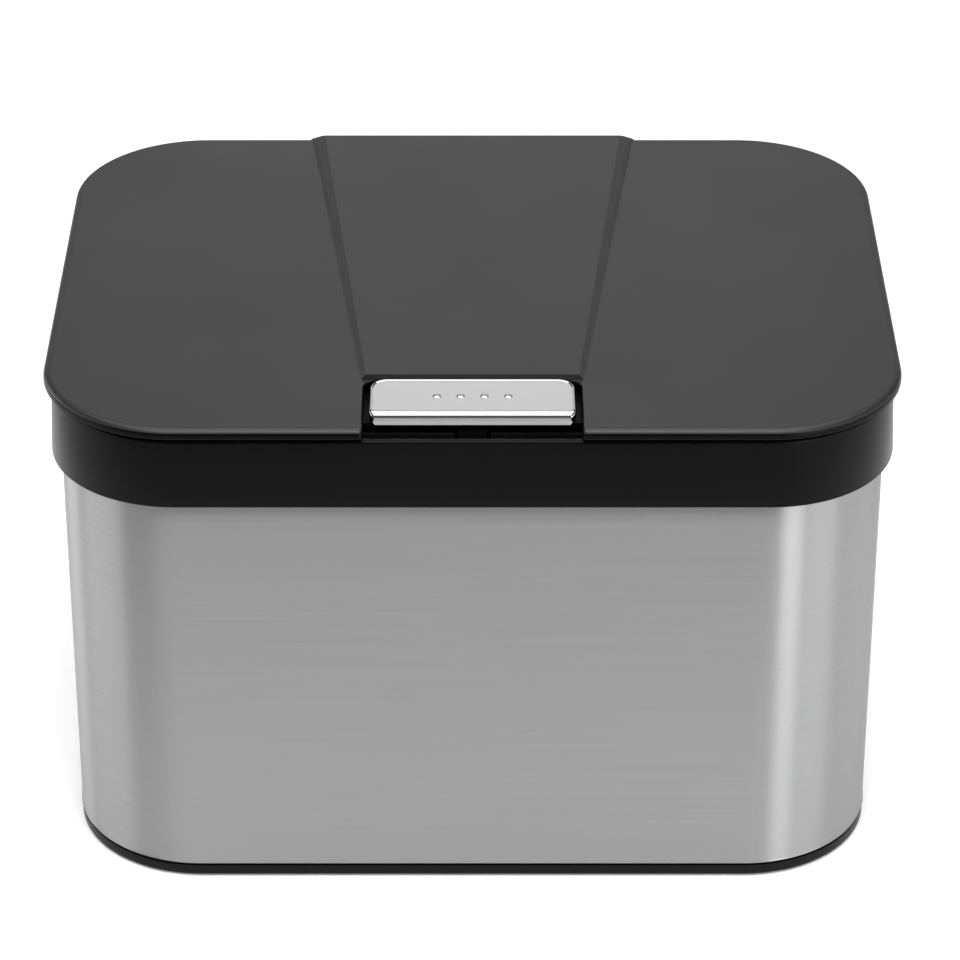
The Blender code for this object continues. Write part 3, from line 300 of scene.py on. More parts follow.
def shell_outline(offset, corner):
    """Outline parallel to the sleeve's sides, with its own corner radius."""
    half_w = HALF_W + offset
    half_d = HALF_D + offset
    return rectangle(-half_w, half_w, -half_d, half_d, corner, FINE_CORNER)


def lid_outline(inset, notch_inset):
    """Lid outline with the button's notch in its front edge, each offset into the plate."""
    half_w = LID_HI[0] - inset
    half_d = LID_HI[1] - inset
    corner = (LID_CORNER - inset, FINE_CORNER)
    notch = NOTCH_HALF + notch_inset
    rear = NOTCH_REAR_Y + notch_inset
    mouth = (max(NOTCH_MOUTH_ROUND - notch_inset, NOTCH_LEAST_ROUND), SMALL_CORNER)
    inner = (NOTCH_CORNER + notch_inset, SMALL_CORNER)
    return rounded_polygon([
        (half_w, half_d, *corner), (-half_w, half_d, *corner), (-half_w, -half_d, *corner),
        (-notch, -half_d, *mouth), (-notch, rear, *inner),
        (notch, rear, *inner), (notch, -half_d, *mouth), (half_w, -half_d, *corner)])


def ring(outline, z):
    return [(p[0], p[1], z) for p in outline]


def circle(radius, steps=CIRCLE_STEPS):
    turn = 2 * math.pi / steps
    return [(radius * math.cos(turn * i), radius * math.sin(turn * i)) for i in range(steps)]


def round_over(offset, z, radius, start, finish, steps=ROUND_STEPS):
    """(offset, z) points of an arc about a centre, between two angles in degrees."""
    points = []
    for k in range(steps + 1):
        angle = math.radians(start + (finish - start) * k / steps)
        points.append((offset + radius * math.cos(angle), z + radius * math.sin(angle)))
    return points


def new_object(name, bm):
    mesh = bpy.data.meshes.new(name)
    bmesh.ops.recalc_face_normals(bm, faces=bm.faces)
    bm.to_mesh(mesh)
    bm.free()
    obj = bpy.data.objects.new(name, mesh)
    bpy.context.scene.collection.objects.link(obj)
    return obj


def loft(name, rings, closed=False):
    """Solid through rings of equal point count; a closed loft joins its last ring to its first."""
    bm = bmesh.new()
    loops = [[bm.verts.new(p) for p in points] for points in rings]
    count = len(loops[0])
    pairs = list(zip(loops, loops[1:]))
    if closed:
        pairs.append((loops[-1], loops[0]))
    for low, high in pairs:
        for i in range(count):
            j = (i + 1) % count
            bm.faces.new((low[i], low[j], high[j], high[i]))
    if not closed:
        bm.faces.new(loops[0][::-1])
        bm.faces.new(loops[-1])
    return new_object(name, bm)


def prism(name, outline, z0, z1):
    return loft(name, [ring(outline, z0), ring(outline, z1)])


def side_prism(name, profile, x0, x1):
    """Solid whose outline (y, z) runs from one x to another."""
    return loft(name, [[(x0, p[0], p[1]) for p in profile], [(x1, p[0], p[1]) for p in profile]])


def box(name, x0, x1, y0, y1, z0, z1):
    return prism(name, rectangle(x0, x1, y0, y1), z0, z1)


def turned(name, profile, place=(0, 0)):
    """Solid of revolution about a vertical line, from (radius, z) pairs."""
    rings = []
    for radius, z in profile:
        rings.append([(place[0] + x, place[1] + y, z) for x, y in circle(radius)])
    return loft(name, rings)


def cross_pin(name, radius, x0, x1, y, z):
    """Rod along X about a point of the side view."""
    return side_prism(name, [(y + a, z + b) for a, b in circle(radius)], x0, x1)


def combine(target, tool, operation):
    """Boolean the tool into the target and remove the tool."""
    modifier = target.modifiers.new("combine", 'BOOLEAN')
    modifier.operation = operation
    modifier.object = tool
    graph = bpy.context.evaluated_depsgraph_get()
    mesh = bpy.data.meshes.new_from_object(target.evaluated_get(graph))
    target.modifiers.clear()
    old = target.data
    target.data = mesh
    bpy.data.meshes.remove(old)
    bpy.data.objects.remove(tool, do_unlink=True)
    return target


def add(target, tool):
    return combine(target, tool, 'UNION')


def cut(target, tool):
    return combine(target, tool, 'DIFFERENCE')


def smooth(obj, angle=SHARP):
    obj.data.shade_smooth()
    obj.data.set_sharp_from_angle(angle=math.radians(angle))
    return obj


def show(obj, made, body, slot, *nodes):
    """Dress a finished piece, hang it on its body and hide the CAD nodes it replaces."""
    obj.data.materials.clear()
    obj.data.materials.append(made)
    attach(obj, body)
    if nodes:
        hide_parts(*nodes)
    return obj


# ---- materials ----------------------------------------------------------------------------
class Surface:
    """A Principled material with the few procedural layers used here."""

    def __init__(self, name, colour, roughness, metallic=0.0, **sockets):
        self.material = bpy.data.materials.new(name)
        self.material.use_nodes = True
        self.tree = self.material.node_tree
        self.shader = self.tree.nodes["Principled BSDF"]
        self.shader.inputs["Metallic"].default_value = metallic
        self.shader.inputs["Base Color"].default_value = (*colour, 1.0)
        self.shader.inputs["Roughness"].default_value = roughness
        for socket, value in sockets.items():
            self.shader.inputs[socket.replace("_", " ")].default_value = value
        self.normal = None

    def node(self, kind, **values):
        made = self.tree.nodes.new(kind)
        for key, value in values.items():
            setattr(made, key, value)
        return made

    def link(self, source, target):
        self.tree.links.new(source, target)

    def noise(self, scale, stretch=(1, 1, 1), detail=3.0, roughness=0.5):
        """Noise in object space, with its own stretch along each axis; returns its value."""
        place = self.node('ShaderNodeTexCoord')
        mapping = self.node('ShaderNodeMapping')
        mapping.inputs["Scale"].default_value = stretch
        texture = self.node('ShaderNodeTexNoise')
        texture.inputs["Scale"].default_value = scale
        texture.inputs["Detail"].default_value = detail
        texture.inputs["Roughness"].default_value = roughness
        self.link(place.outputs["Object"], mapping.inputs["Vector"])
        self.link(mapping.outputs["Vector"], texture.inputs["Vector"])
        return texture.outputs["Fac"]

    def spread(self, value, low, high, start=0.3, finish=0.7):
        """Map a noise value to a range."""
        made = self.node('ShaderNodeMapRange')
        made.inputs["From Min"].default_value = start
        made.inputs["From Max"].default_value = finish
        made.inputs["To Min"].default_value = low
        made.inputs["To Max"].default_value = high
        self.link(value, made.inputs["Value"])
        return made.outputs["Result"]

    def blend_colours(self, value, low, high, start=0.3, finish=0.7):
        ramp = self.node('ShaderNodeValToRGB')
        ramp.color_ramp.elements[0].position = start
        ramp.color_ramp.elements[0].color = (*low, 1.0)
        ramp.color_ramp.elements[1].position = finish
        ramp.color_ramp.elements[1].color = (*high, 1.0)
        self.link(value, ramp.inputs["Fac"])
        self.link(ramp.outputs["Color"], self.shader.inputs["Base Color"])

    def rough(self, value, low, high):
        self.link(self.spread(value, low, high), self.shader.inputs["Roughness"])

    def bump(self, value, strength, distance):
        """Add a bump layer on top of any earlier one."""
        made = self.node('ShaderNodeBump')
        made.inputs["Strength"].default_value = strength
        made.inputs["Distance"].default_value = distance
        self.link(value, made.inputs["Height"])
        if self.normal:
            self.link(self.normal, made.inputs["Normal"])
        self.normal = made.outputs["Normal"]
        self.link(self.normal, self.shader.inputs["Normal"])


def satin_lid():
    """Charcoal moulded plastic with a very fine spark-eroded grain."""
    made = Surface("satin_lid_plastic", LID_TONES[0], LID_ROUGH[0], Specular_IOR_Level=0.42)
    grain = made.noise(2600.0, detail=2.0)
    cloud = made.noise(18.0)
    made.blend_colours(cloud, *LID_TONES)
    made.rough(cloud, *LID_ROUGH)
    made.bump(grain, 0.10, 0.00006)
    return made.material


def gloss_black(name, colour, roughness, specular, grain_bump):
    """Black moulded plastic, smoother than the lid."""
    made = Surface(name, colour, roughness, Specular_IOR_Level=specular)
    cloud = made.noise(25.0)
    grain = made.noise(1800.0, detail=2.0)
    made.blend_colours(cloud, colour, tuple(c * BLACK_SPREAD for c in colour))
    made.rough(cloud, roughness - BLACK_ROUGH_SPREAD, roughness + BLACK_ROUGH_SPREAD)
    made.bump(grain, grain_bump, 0.00005)
    return made.material


def brushed_steel():
    """Stainless sheet, brushed in fine horizontal lines."""
    made = Surface("brushed_steel", STEEL_TONES[0], STEEL_ROUGH[0], 1.0, Anisotropic=0.94,
                   Anisotropic_Rotation=0.25)
    tangent = made.node('ShaderNodeTangent', direction_type='RADIAL', axis='Z')
    made.link(tangent.outputs["Tangent"], made.shader.inputs["Tangent"])
    fine = made.noise(1.0, BRUSH_LINES, detail=2.0)
    broad = made.noise(1.0, BRUSH_BANDS)
    mixed = made.node('ShaderNodeMath', operation='ADD')
    half = made.node('ShaderNodeMath', operation='MULTIPLY')
    half.inputs[1].default_value = 0.5
    made.link(fine, mixed.inputs[0])
    made.link(broad, mixed.inputs[1])
    made.link(mixed.outputs[0], half.inputs[0])
    lines = half.outputs[0]
    made.blend_colours(lines, *STEEL_TONES, 0.35, 0.65)
    made.rough(lines, *STEEL_ROUGH)
    made.bump(fine, 0.06, 0.00002)
    return made.material


def zinc_wire():
    """Plated steel for springs, pins and screws."""
    made = Surface("zinc_wire", WIRE_COLOUR, WIRE_ROUGH[0], 1.0)
    lines = made.noise(1.0, (900, 900, 900), detail=2.0)
    made.blend_colours(lines, tuple(c * 0.94 for c in WIRE_COLOUR), WIRE_COLOUR)
    made.rough(lines, *WIRE_ROUGH)
    made.bump(lines, 0.04, 0.00001)
    return made.material


def button_metal():
    """Chromed cap: satin on its flat top, polished round the edges."""
    made = Surface("button_metal", CHROME_TONES[0], CHROME_ROUGH[0], 1.0)
    shape = made.node('ShaderNodeNewGeometry')
    facing = made.node('ShaderNodeSeparateXYZ')
    made.link(shape.outputs["Normal"], facing.inputs[0])
    lines = made.noise(1.0, (60, 2600, 60), detail=2.0)
    made.blend_colours(lines, *CHROME_TONES)
    made.link(made.spread(facing.outputs["Z"], *CHROME_ROUGH, *CHROME_LEVEL),
              made.shader.inputs["Roughness"])
    made.bump(lines, 0.03, 0.00001)
    return made.material


def rubber():
    """Matt black rubber with a coarse skin."""
    made = Surface("foot_rubber", RUBBER_TONES[0], 0.75, Specular_IOR_Level=0.3)
    grain = made.noise(900.0, detail=4.0)
    made.blend_colours(grain, *RUBBER_TONES)
    made.bump(grain, 0.25, 0.0001)
    return made.material


# ---- pieces -------------------------------------------------------------------------------
def offset_rings(section, corner_of):
    return [ring(shell_outline(o, corner_of(o)), z) for o, z in section]


def steel_skin(made):
    """Sleeve with a slightly flared lower edge and a rounded upper one."""
    edge = SLEEVE_WALL / 2
    low = SLEEVE_LO[2]
    high = SLEEVE_HI[2]
    section = [(-SLEEVE_WALL, low)]
    section += round_over(HEM_FLARE - HEM_ROUND, low + HEM_ROUND, HEM_ROUND, -90, 0, FINE_STEPS)
    section += [(HEM_FLARE * HEM_MIDDLE[0], low + HEM_RISE * HEM_MIDDLE[1]), (0.0, low + HEM_RISE)]
    section += round_over(-edge, high - edge, edge, 0, 180)
    rings = offset_rings(section, lambda o: SLEEVE_CORNER + o)
    return show(smooth(loft("steel_skin", rings, closed=True)), made, "body", "brushed_steel",
                "body_sleeve")


def base_rim(made):
    """Pan with a rounded visible rim and a fine shadow groove under the steel."""
    under = PAN_LO[2]
    floor_under, floor_top = (under + z for z in PAN_FLOOR)
    groove_z = SLEEVE_LO[2] - TOUCH - GROOVE
    top = PAN_HI[2]
    wall = SLOT - PAN_WALL
    section = [(-RIM_WIDTH, floor_under)]
    section += round_over(FINE_ROUND - RIM_WIDTH, under + FINE_ROUND, FINE_ROUND, 180, 270,
                          FINE_STEPS)
    section += round_over(-RIM_ROUND, under + RIM_ROUND, RIM_ROUND, 270, 360)
    section += round_over(-RIM_TOP_ROUND, groove_z - RIM_TOP_ROUND, RIM_TOP_ROUND, 0, 90, FINE_STEPS)
    section += [(SLOT + RIM_TOP_ROUND / 3, groove_z), (SLOT, groove_z), (SLOT, top - RIM_TOP_ROUND)]
    section += round_over(SLOT - RIM_TOP_ROUND, top - RIM_TOP_ROUND, RIM_TOP_ROUND, 0, 90, FINE_STEPS)
    section += [(wall, top), (wall, floor_top + PAN_FILLET)]
    section += round_over(wall - PAN_FILLET, floor_top + PAN_FILLET, PAN_FILLET, 0, -90, 4)
    pan = loft("base_rim", offset_rings(section, lambda o: SLEEVE_CORNER + o))
    lo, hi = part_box("foot_front_right")
    radius, high = STEM_HOLE
    for x in (-1, 1):
        for y in (-1, 1):
            place = (x * (lo[0] + hi[0]) / 2, y * (lo[1] + hi[1]) / -2)
            cut(pan, turned("stem_hole", [(radius, -PAST), (radius, high)], place))
    return show(smooth(pan), made, "body", "black_plastic", "base_pan")


def collar_section():
    """Cross-section of the collar as (offset, corner radius, z)."""
    top = COLLAR_TOP_Z
    foot = COLLAR_FOOT_ROUND
    low_out = COLLAR_HI[0] - HALF_W
    high_out = low_out - COLLAR_STEP
    inner = high_out - COLLAR_WALL
    corner_in = COLLAR_CORNER - COLLAR_WALL
    ledge_in = inner - LEDGE_WIDTH
    ledge_corner = corner_in - LEDGE_WIDTH + LEDGE_CORNER_EASE
    ledge_under = LEDGE_TOP_Z - COLLAR_WALL
    skirt_in = SLOT - COLLAR_WALL
    slot_top = SLEEVE_HI[2] + TOUCH
    out = [(o, COLLAR_CORNER + o - low_out, z)
           for o, z in round_over(low_out - foot, COLLAR_BOTTOM_Z + foot, foot, -90, 0, 4)]
    out += [(o, COLLAR_CORNER + o - high_out, z)
            for o, z in round_over(high_out - COLLAR_ROUND, top - COLLAR_ROUND, COLLAR_ROUND, 0, 90)]
    out += [(o, COLLAR_CORNER + o - high_out, z)
            for o, z in round_over(inner + FINE_ROUND, top - FINE_ROUND, FINE_ROUND, 90, 180,
                                   FINE_STEPS)]
    out += [(inner, corner_in, LEDGE_TOP_Z + LEDGE_FILLET),
            (inner - LEDGE_FILLET, corner_in - LEDGE_FILLET, LEDGE_TOP_Z)]
    out += [(ledge_in + FINE_ROUND, ledge_corner + FINE_ROUND, LEDGE_TOP_Z),
            (ledge_in, ledge_corner, LEDGE_TOP_Z - FINE_ROUND),
            (ledge_in, ledge_corner, ledge_under)]
    out += [(o, SLEEVE_CORNER + o, z)
            for o, z in ((skirt_in, ledge_under), (skirt_in, COLLAR_LO[2]), (SLOT, COLLAR_LO[2]),
                         (SLOT, slot_top), (TOUCH, slot_top), (TOUCH, COLLAR_BOTTOM_Z))]
    return out


def hinge_spans(side):
    """x ranges of the bosses and the ear of one hinge."""
    lo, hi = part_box("hinge_pin_right")
    spans = {"inner_boss": (lo[0], lo[0] + BOSS_WIDTH), "outer_boss": (hi[0] - BOSS_WIDTH, hi[0]),
             "ear": (lo[0] + EAR_START, lo[0] + EAR_START + EAR_WIDTH)}
    return {name: tuple(sorted((side * a, side * b))) for name, (a, b) in spans.items()}


def add_catch(body, wall):
    """Lip on the front wall that the latch holds on to."""
    low = LATCH_Z - CATCH_BELOW
    edge = CATCH_REACH - (HALF_D - TOUCH)
    lip = [(-wall, low), (edge, low), (edge, low + CATCH_HEIGHT - CATCH_CHAMFER),
           (edge - CATCH_CHAMFER, low + CATCH_HEIGHT), (-wall, low + CATCH_HEIGHT)]
    add(body, side_prism("catch_lip", lip, -CATCH_HALF, CATCH_HALF))


def add_post(body, wall, side):
    """Post and web that carry a rubber bumper."""
    lo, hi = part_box("lid_bumper_right")
    x = side * (lo[0] + hi[0]) / 2
    y = (lo[1] + hi[1]) / 2
    root = LEDGE_TOP_Z - ROOT
    radius, depth = BUMPER_HOLE
    add(body, turned("post", [(POST_RADIUS, root), (POST_RADIUS, POST_TOP_Z - FINE_ROUND),
                              (POST_RADIUS - FINE_ROUND, POST_TOP_Z)], (x, y)))
    add(body, box("web", x - WEB_HALF, x + WEB_HALF, -wall, y, root,
                  POST_TOP_Z - FINE_ROUND / 2))
    cut(body, turned("hole", [(radius, POST_TOP_Z - depth), (radius, POST_TOP_Z + PAST)], (x, y)))


def add_hinge(body, wall, side):
    """Two bosses on the rear wall, bored for the pin."""
    spans = hinge_spans(side)
    top = HINGE_Z + BOSS_RADIUS
    root = LEDGE_TOP_Z - ROOT
    arc = [(HINGE_Y - BOSS_ARC_AHEAD + BOSS_RADIUS * math.cos(math.radians(a)),
            HINGE_Z + BOSS_RADIUS * math.sin(math.radians(a))) for a in range(90, 181, BOSS_ARC_STEP)]
    profile = [(HINGE_Y - BOSS_FRONT, root), (wall, root), (wall, top),
               (HINGE_Y + BOSS_REAR_FLAT, top)] + arc
    for name in ("inner_boss", "outer_boss"):
        add(body, side_prism(name, profile, *spans[name]))
    ends = spans["inner_boss"] + spans["outer_boss"]
    cut(body, cross_pin("bore", PIN_BORE, min(ends) - PAST, max(ends) + PAST, HINGE_Y, HINGE_Z))


def collar_shell(made):
    """Collar: rounded frame, with hinge bosses, catch lip and bumper posts inside."""
    body = loft("collar_shell", [ring(shell_outline(o, c), z) for o, c, z in collar_section()],
                closed=True)
    wall = HALF_D - TOUCH + ROOT
    add_catch(body, wall)
    for side in (-1, 1):
        add_post(body, wall, side)
        add_hinge(body, wall, side)
    return show(smooth(body), made, "body", "black_plastic", "collar")


def bucket(made):
    """Lift-out bucket with a rounded flange and finger notches."""
    wall = -TOUCH - LEDGE_WIDTH - BUCKET_GAP
    flange = wall + FLANGE_REACH
    top = BUCKET_HI[2]
    low = BUCKET_LO[2]
    foot = wall - BUCKET_TAPER
    outer = BUCKET_FOOT_ROUND
    inner = outer - BUCKET_WALL / 2
    under = top - FLANGE_DROP
    rim = top - FLANGE_TOP_ROUND
    section = round_over(foot - outer, low + outer, outer, 270, 360)
    section += [(wall, under - TOUCH), (wall + TOUCH, under)]
    section += round_over(flange - FLANGE_UNDER_ROUND, under + FLANGE_UNDER_ROUND,
                          FLANGE_UNDER_ROUND, 270, 360, FINE_STEPS)
    section += round_over(flange - FLANGE_TOP_ROUND, rim, FLANGE_TOP_ROUND, 0, 90, 4)
    section += round_over(wall - BUCKET_WALL + FLANGE_TOP_ROUND, rim, FLANGE_TOP_ROUND, 90, 180, 4)
    section += round_over(foot - BUCKET_WALL - inner, low + BUCKET_WALL + inner, inner, 360, 270)
    corner = COLLAR_CORNER - COLLAR_WALL - LEDGE_WIDTH + LEDGE_CORNER_EASE - BUCKET_GAP
    rings = [ring(shell_outline(o, max(corner + o - wall, BUCKET_LEAST_CORNER)), z)
             for o, z in section]
    made_bucket = loft("bucket", rings)
    edge = HALF_W + flange
    for side in (-1, 1):
        x0, x1 = sorted((side * (edge - FINGER_DEPTH), side * (edge + FINGER_DEPTH)))
        cut(made_bucket, prism("notch", rectangle(x0, x1, -FINGER_HALF, FINGER_HALF, FINGER_CORNER),
                               top - FINGER_CUT, top + PAST))
    return show(smooth(made_bucket), made, "body", "bucket_plastic", "inner_bucket")


def panel_rings():
    """Raised panel: crisp foot, sloped sides that widen to the rear, softly rounded top edge."""
    soft = PANEL_SOFT / PANEL_RISE
    levels = [(-PANEL_ROOT, PANEL_ROOT_SHARE), (0.0, 0.0), (PANEL_RISE - PANEL_SOFT, 1 - soft),
              (PANEL_RISE - PANEL_SOFT * 0.38, 1 - soft * 0.26), (PANEL_RISE, 1.12),
              (PANEL_RISE, 1.25)]
    rings = []
    for rise, share in levels:
        z = LID_TOP_Z + rise
        front_half = PANEL_FRONT_HALF + PANEL_FRONT_SLOPE * (1 - share)
        rear_half = PANEL_REAR_HALF + PANEL_REAR_SLOPE * (1 - share)
        front = NOTCH_REAR_Y + PANEL_FRONT_INSET + PANEL_FRONT_LEAN * share
        rear = LID_HI[1] - PANEL_REAR_INSET - PANEL_REAR_LEAN * max(share, 0)
        rings.append([(rear_half, rear, z), (-rear_half, rear, z),
                      (-front_half, front, z), (front_half, front, z)])
    return rings


def screw_places():
    """Middle of each liner screw in plan."""
    boxes = [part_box(name) for name in sorted(frame["nodes"]) if name.startswith("liner_screw_")]
    return [((lo[0] + hi[0]) / 2, (lo[1] + hi[1]) / 2) for lo, hi in boxes]


def ear_profile():
    """Goose-necked hinge ear: a ring round the axis and a neck up to the lid."""
    start, finish, step = EAR_ARC
    ahead, depth = EAR_NECK
    top = LID_UNDER_Z + LID_WALL / 4
    arc = [(HINGE_Y + EAR_RADIUS * math.cos(math.radians(a)),
            HINGE_Z + EAR_RADIUS * math.sin(math.radians(a))) for a in range(start, finish + 1, step)]
    return arc + [(HINGE_Y - ahead, top), (HINGE_Y - ahead - depth, top)]


def lid_plate():
    """Lid's plate and skirt with the rounded edge, hollow underneath."""
    foot = LID_FOOT_ROUND
    rings = [ring(lid_outline(foot, foot), LID_BOTTOM_Z),
             ring(lid_outline(0.0, 0.0), LID_BOTTOM_Z + foot)]
    for step in range(LID_ROUND_STEPS + 1):
        angle = math.radians(90) * step / LID_ROUND_STEPS
        lost = 1 - math.cos(angle)
        rings.append(ring(lid_outline(LID_ROUND * lost, NOTCH_ROUND * lost),
                          LID_TOP_Z - LID_ROUND * (1 - math.sin(angle))))
    rings.append(ring(lid_outline(LID_ROUND + FLAT_LOOP, NOTCH_ROUND + FLAT_LOOP), LID_TOP_Z))
    hollow = prism("hollow", lid_outline(LID_WALL, LID_WALL), LID_BOTTOM_Z - PAST, LID_UNDER_Z)
    return cut(loft("lid_cover", rings), hollow)


def lid_cover(made, skirt_shade_made):
    """Lid: thin rounded edge, notch, raised panel, bosses and hinge ears."""
    lid = lid_plate()
    add(lid, loft("panel", panel_rings()))
    boss_radius, boss_depth = SCREW_BOSS
    hole_radius, hole_depth = SCREW_HOLE
    for place in screw_places():
        add(lid, turned("boss", [(boss_radius, LINER_TOP_Z - boss_depth),
                                 (boss_radius, LID_UNDER_Z + LID_WALL / 4)], place))
        cut(lid, turned("hole", [(hole_radius, LINER_TOP_Z - hole_depth),
                                 (hole_radius, LID_TOP_Z - SCREW_ROOF)], place))
    for side in (-1, 1):
        x0, x1 = hinge_spans(side)["ear"]
        add(lid, side_prism("ear", ear_profile(), x0, x1))
        cut(lid, cross_pin("bore", PIN_BORE, x0 - PAST, x1 + PAST, HINGE_Y, HINGE_Z))
    show(smooth(lid, LID_SHARP), made, "lid", "lid_plastic", "lid_shell")
    # Painted shade: the skirt's steep faces wear the darker collar black, though the lid is one
    # moulding.
    lid.data.materials.append(skirt_shade_made)
    for face in lid.data.polygons:
        if abs(face.normal.z) < SKIRT_SHADE_TILT and face.center.z < LID_TOP_Z - NOTCH_ROUND:
            face.material_index = 1


def button_outline(inset, front_inset):
    """Cap outline, its sides and rear offset by one inset and its front by another."""
    half = CAP_HI[0] - inset
    rear = (max(BUTTON_CORNER - inset, BUTTON_LEAST_CORNER), SMALL_CORNER)
    front = (max(BUTTON_FRONT_CORNER - inset, BUTTON_LEAST_CORNER), SMALL_CORNER)
    y1 = CAP_HI[1] - inset
    y0 = CAP_LO[1] + front_inset
    return rounded_polygon([(half, y1, *rear), (-half, y1, *rear),
                            (-half, y0, *front), (half, y0, *front)])


def button_front(z):
    """How far the cap's leaning front face is behind its lowest edge, at a height."""
    return (z - CAP_LO[2]) * math.tan(BUTTON_DRAFT)


def button_rings(top, roll_back):
    """Cap's outlines from its rounded foot up to the satin top."""
    low = CAP_LO[2]
    centre_z = top - BUTTON_ROLL
    rings = []
    for k in range(SMALL_CORNER):
        angle = math.radians(90) * k / SMALL_CORNER
        z = low + BUTTON_FOOT_ROUND * (1 - math.cos(angle))
        side = BUTTON_FOOT_ROUND * (1 - math.sin(angle))
        rings.append(ring(button_outline(side, button_front(z)), z))
    for k in range(BUTTON_ROLL_STEPS + 1):
        angle = BUTTON_DRAFT + (math.radians(90) - BUTTON_DRAFT) * k / BUTTON_ROLL_STEPS
        z = centre_z + BUTTON_ROLL * math.sin(angle)
        over = max(0.0, z - (top - BUTTON_RIM)) / BUTTON_RIM
        side = BUTTON_RIM * (1 - math.sqrt(max(0.0, 1 - over * over)))
        rings.append(ring(button_outline(side, roll_back - BUTTON_ROLL * math.cos(angle)), z))
    rings.append(ring(button_outline(BUTTON_RIM + BUTTON_BEVEL, roll_back + BUTTON_FRONT_BEVEL),
                      top - BUTTON_DISH))
    return rings


def add_pips(cap, face, middle):
    """Generic row of small domes on the satin top."""
    for number in range(PIP_COUNT):
        x = (number - (PIP_COUNT - 1) / 2) * PIP_SPACING
        dome = [(PIP_RADIUS, face - PIP_ROOT)]
        for k in range(PIP_STEPS):
            angle = math.radians(90) * k / PIP_STEPS
            dome.append((PIP_RADIUS * math.cos(angle), face + PIP_RISE * math.sin(angle)))
        add(cap, turned("pip", dome, (x, middle)))


def button_top(made):
    """Polished cap: rolled front, fine rounded rim, satin top with a generic row of pips."""
    top = CAP_HI[2]
    roll_start = top - BUTTON_ROLL * (1 - math.sin(BUTTON_DRAFT))
    roll_back = button_front(roll_start) + BUTTON_ROLL * math.cos(BUTTON_DRAFT)
    cap = loft("button_top", button_rings(top, roll_back))
    add_pips(cap, top - BUTTON_DISH, (CAP_LO[1] + roll_back + CAP_HI[1]) / 2 + PIP_SHIFT)
    cut(cap, prism("hollow", button_outline(BUTTON_WALL, BUTTON_FRONT_WALL), CAP_LO[2] - PAST,
                   top - BUTTON_TOP))
    return show(smooth(cap, BUTTON_SHARP), made, "button", "polished_metal", "button_cap")


def return_spring(name, made):
    """Copy of a return spring's CAD mesh, dressed and carried by the lid."""
    node = frame["nodes"][name]
    coil = bpy.data.objects.new(f"{name}_coil", node.data.copy())
    coil.matrix_world = node.matrix_world
    bpy.context.scene.collection.objects.link(coil)
    show(coil, made, "lid", "spring_steel", name)
    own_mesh(coil)


# ---- stage --------------------------------------------------------------------------------
def ramp_between(tree, value, start, finish, low, high):
    """Smooth step of a value between two stops."""
    spread = tree.nodes.new('ShaderNodeMapRange')
    spread.interpolation_type = 'SMOOTHSTEP'
    spread.inputs["From Min"].default_value = start
    spread.inputs["From Max"].default_value = finish
    spread.inputs["To Min"].default_value = low
    spread.inputs["To Max"].default_value = high
    tree.links.new(value, spread.inputs["Value"])
    return spread.outputs["Result"]


def multiply(tree, first, second):
    made = tree.nodes.new('ShaderNodeMath')
    made.operation = 'MULTIPLY'
    tree.links.new(first, made.inputs[0])
    tree.links.new(second, made.inputs[1])
    return made.outputs[0]


def floor():
    """White paper floor with painted shade: darker well in front of the bin, where the steel's upper
    part reflects it; it also glows a little as painted light.
    """
    bm = bmesh.new()
    outline = rectangle(-FLOOR_HALF, FLOOR_HALF, -FLOOR_HALF, FLOOR_HALF)
    bm.faces.new([bm.verts.new(p) for p in ring(outline, FLOOR_Z)])
    obj = new_object("studio_floor", bm)
    made = Surface("floor_white", (FLOOR_NEAR,) * 3, 0.9, Specular_IOR_Level=0.1)
    place = made.node('ShaderNodeTexCoord')
    split = made.node('ShaderNodeSeparateXYZ')
    made.link(place.outputs["Object"], split.inputs[0])
    tone = ramp_between(made.tree, split.outputs["Y"], *FLOOR_SHADE_FADE, FLOOR_FAR_SHADE, FLOOR_NEAR)
    made.link(tone, made.shader.inputs["Base Color"])
    # painted light: the floor glows, so shadows on it fade
    made.shader.inputs["Emission Color"].default_value = (1.0, 1.0, 1.0, 1.0)
    made.shader.inputs["Emission Strength"].default_value = FLOOR_GLOW
    obj.data.materials.append(made.material)


def area_light(name, place, target, size, power):
    """Rectangular light at a place, facing a target."""
    data = bpy.data.lights.new(name, 'AREA')
    data.shape = 'RECTANGLE'
    data.size, data.size_y = size
    data.energy = power
    obj = bpy.data.objects.new(name, data)
    obj.location = place
    aim = Vector(target) - Vector(place)
    obj.rotation_euler = aim.to_track_quat('-Z', 'Y').to_euler()
    bpy.context.scene.collection.objects.link(obj)


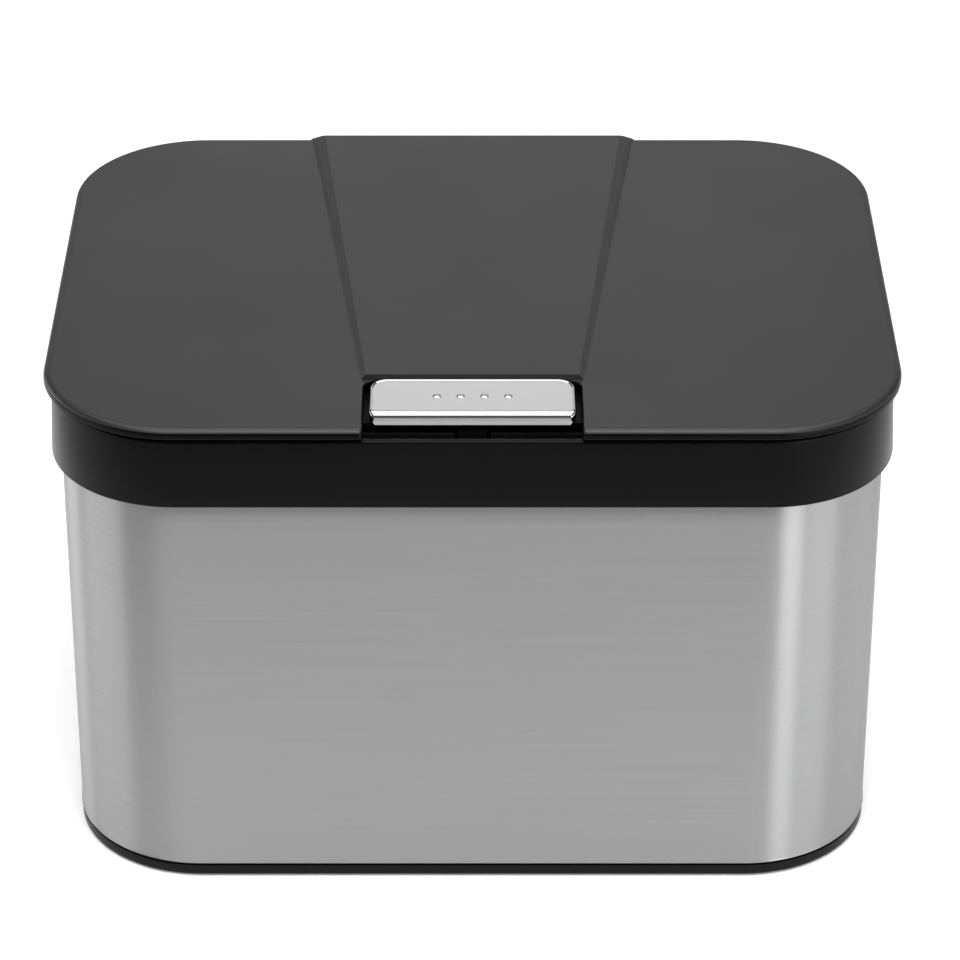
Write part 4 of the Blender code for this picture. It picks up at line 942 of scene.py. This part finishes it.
def sky():
    """Soft surroundings, a little brighter in front than behind and dimmer on the left."""
    world = bpy.data.worlds.new("studio")
    bpy.context.scene.world = world
    world.use_nodes = True
    tree = world.node_tree
    tree.nodes["Background"].inputs["Color"].default_value = (1.0, 1.0, 1.0, 1.0)
    place = tree.nodes.new('ShaderNodeTexCoord')
    split = tree.nodes.new('ShaderNodeSeparateXYZ')
    tree.links.new(place.outputs["Generated"], split.inputs[0])
    depth = ramp_between(tree, split.outputs["Y"], *SKY_FADE, SKY_FRONT, SKY_REAR)
    across = ramp_between(tree, split.outputs["X"], *SKY_ACROSS, SKY_LEFT_SHARE, 1.0)
    tree.links.new(multiply(tree, depth, across), tree.nodes["Background"].inputs["Strength"])


def camera():
    """Long lens, looking down about thirty degrees at the middle of the front."""
    data = bpy.data.cameras.new("camera")
    data.lens = CAMERA_LENS
    data.sensor_width = 36.0
    data.shift_x = CAMERA_SHIFT
    obj = bpy.data.objects.new("camera", data)
    obj.location = (0, -CAMERA_DISTANCE * math.cos(CAMERA_PITCH),
                    CAMERA_TARGET_Z + CAMERA_DISTANCE * math.sin(CAMERA_PITCH))
    obj.rotation_euler = (math.radians(90) - CAMERA_PITCH, 0, 0)
    bpy.context.scene.collection.objects.link(obj)
    bpy.context.scene.camera = obj


def lights():
    """Overhead, front and rear lights, and a ring of upright cards round the corners."""
    for name, light in LIGHTS.items():
        area_light(name, *light)
    for name, (azimuth, width, power) in CARDS.items():
        turn = math.radians(azimuth)
        corner = Vector((math.copysign(HALF_W - SLEEVE_CORNER, azimuth), SLEEVE_CORNER - HALF_D,
                         CARD_LIFT))
        place = corner + CARD_DISTANCE * Vector((math.sin(turn), -math.cos(turn), 0))
        area_light(name, place, corner, (width, CARD_HEIGHT), power)


def dress_nodes(finishes):
    """Put a finish on each CAD node whose name starts with a given word."""
    for name, node in frame["nodes"].items():
        for start, made in finishes.items():
            if name.startswith(start):
                node.data.materials.clear()
                node.data.materials.append(made)


def main():
    camera()
    floor()
    bpy.context.scene.view_settings.view_transform = 'Standard'
    sky()
    lights()

    black = {name: gloss_black(name, *finish) for name, finish in BLACKS.items()}
    wire = zinc_wire()
    pad = rubber()

    steel_skin(brushed_steel())
    base_rim(black["base_black"])
    collar_shell(black["collar_black"])
    bucket(black["bucket_grey"])
    lid_cover(satin_lid(), black["collar_black"])
    button_top(button_metal())
    return_spring("button_spring_left", wire)
    return_spring("button_spring_right", wire)
    dress_nodes({"lid_liner": black["liner_black"], "latch_lever": black["latch_black"],
                 "button_carrier": black["carrier_black"], "foot_": pad, "lid_bumper": pad,
                 "liner_screw": wire, "hinge_pin": wire, "lid_spring": wire, "latch_pin": wire,
                 "latch_spring": wire})


main()
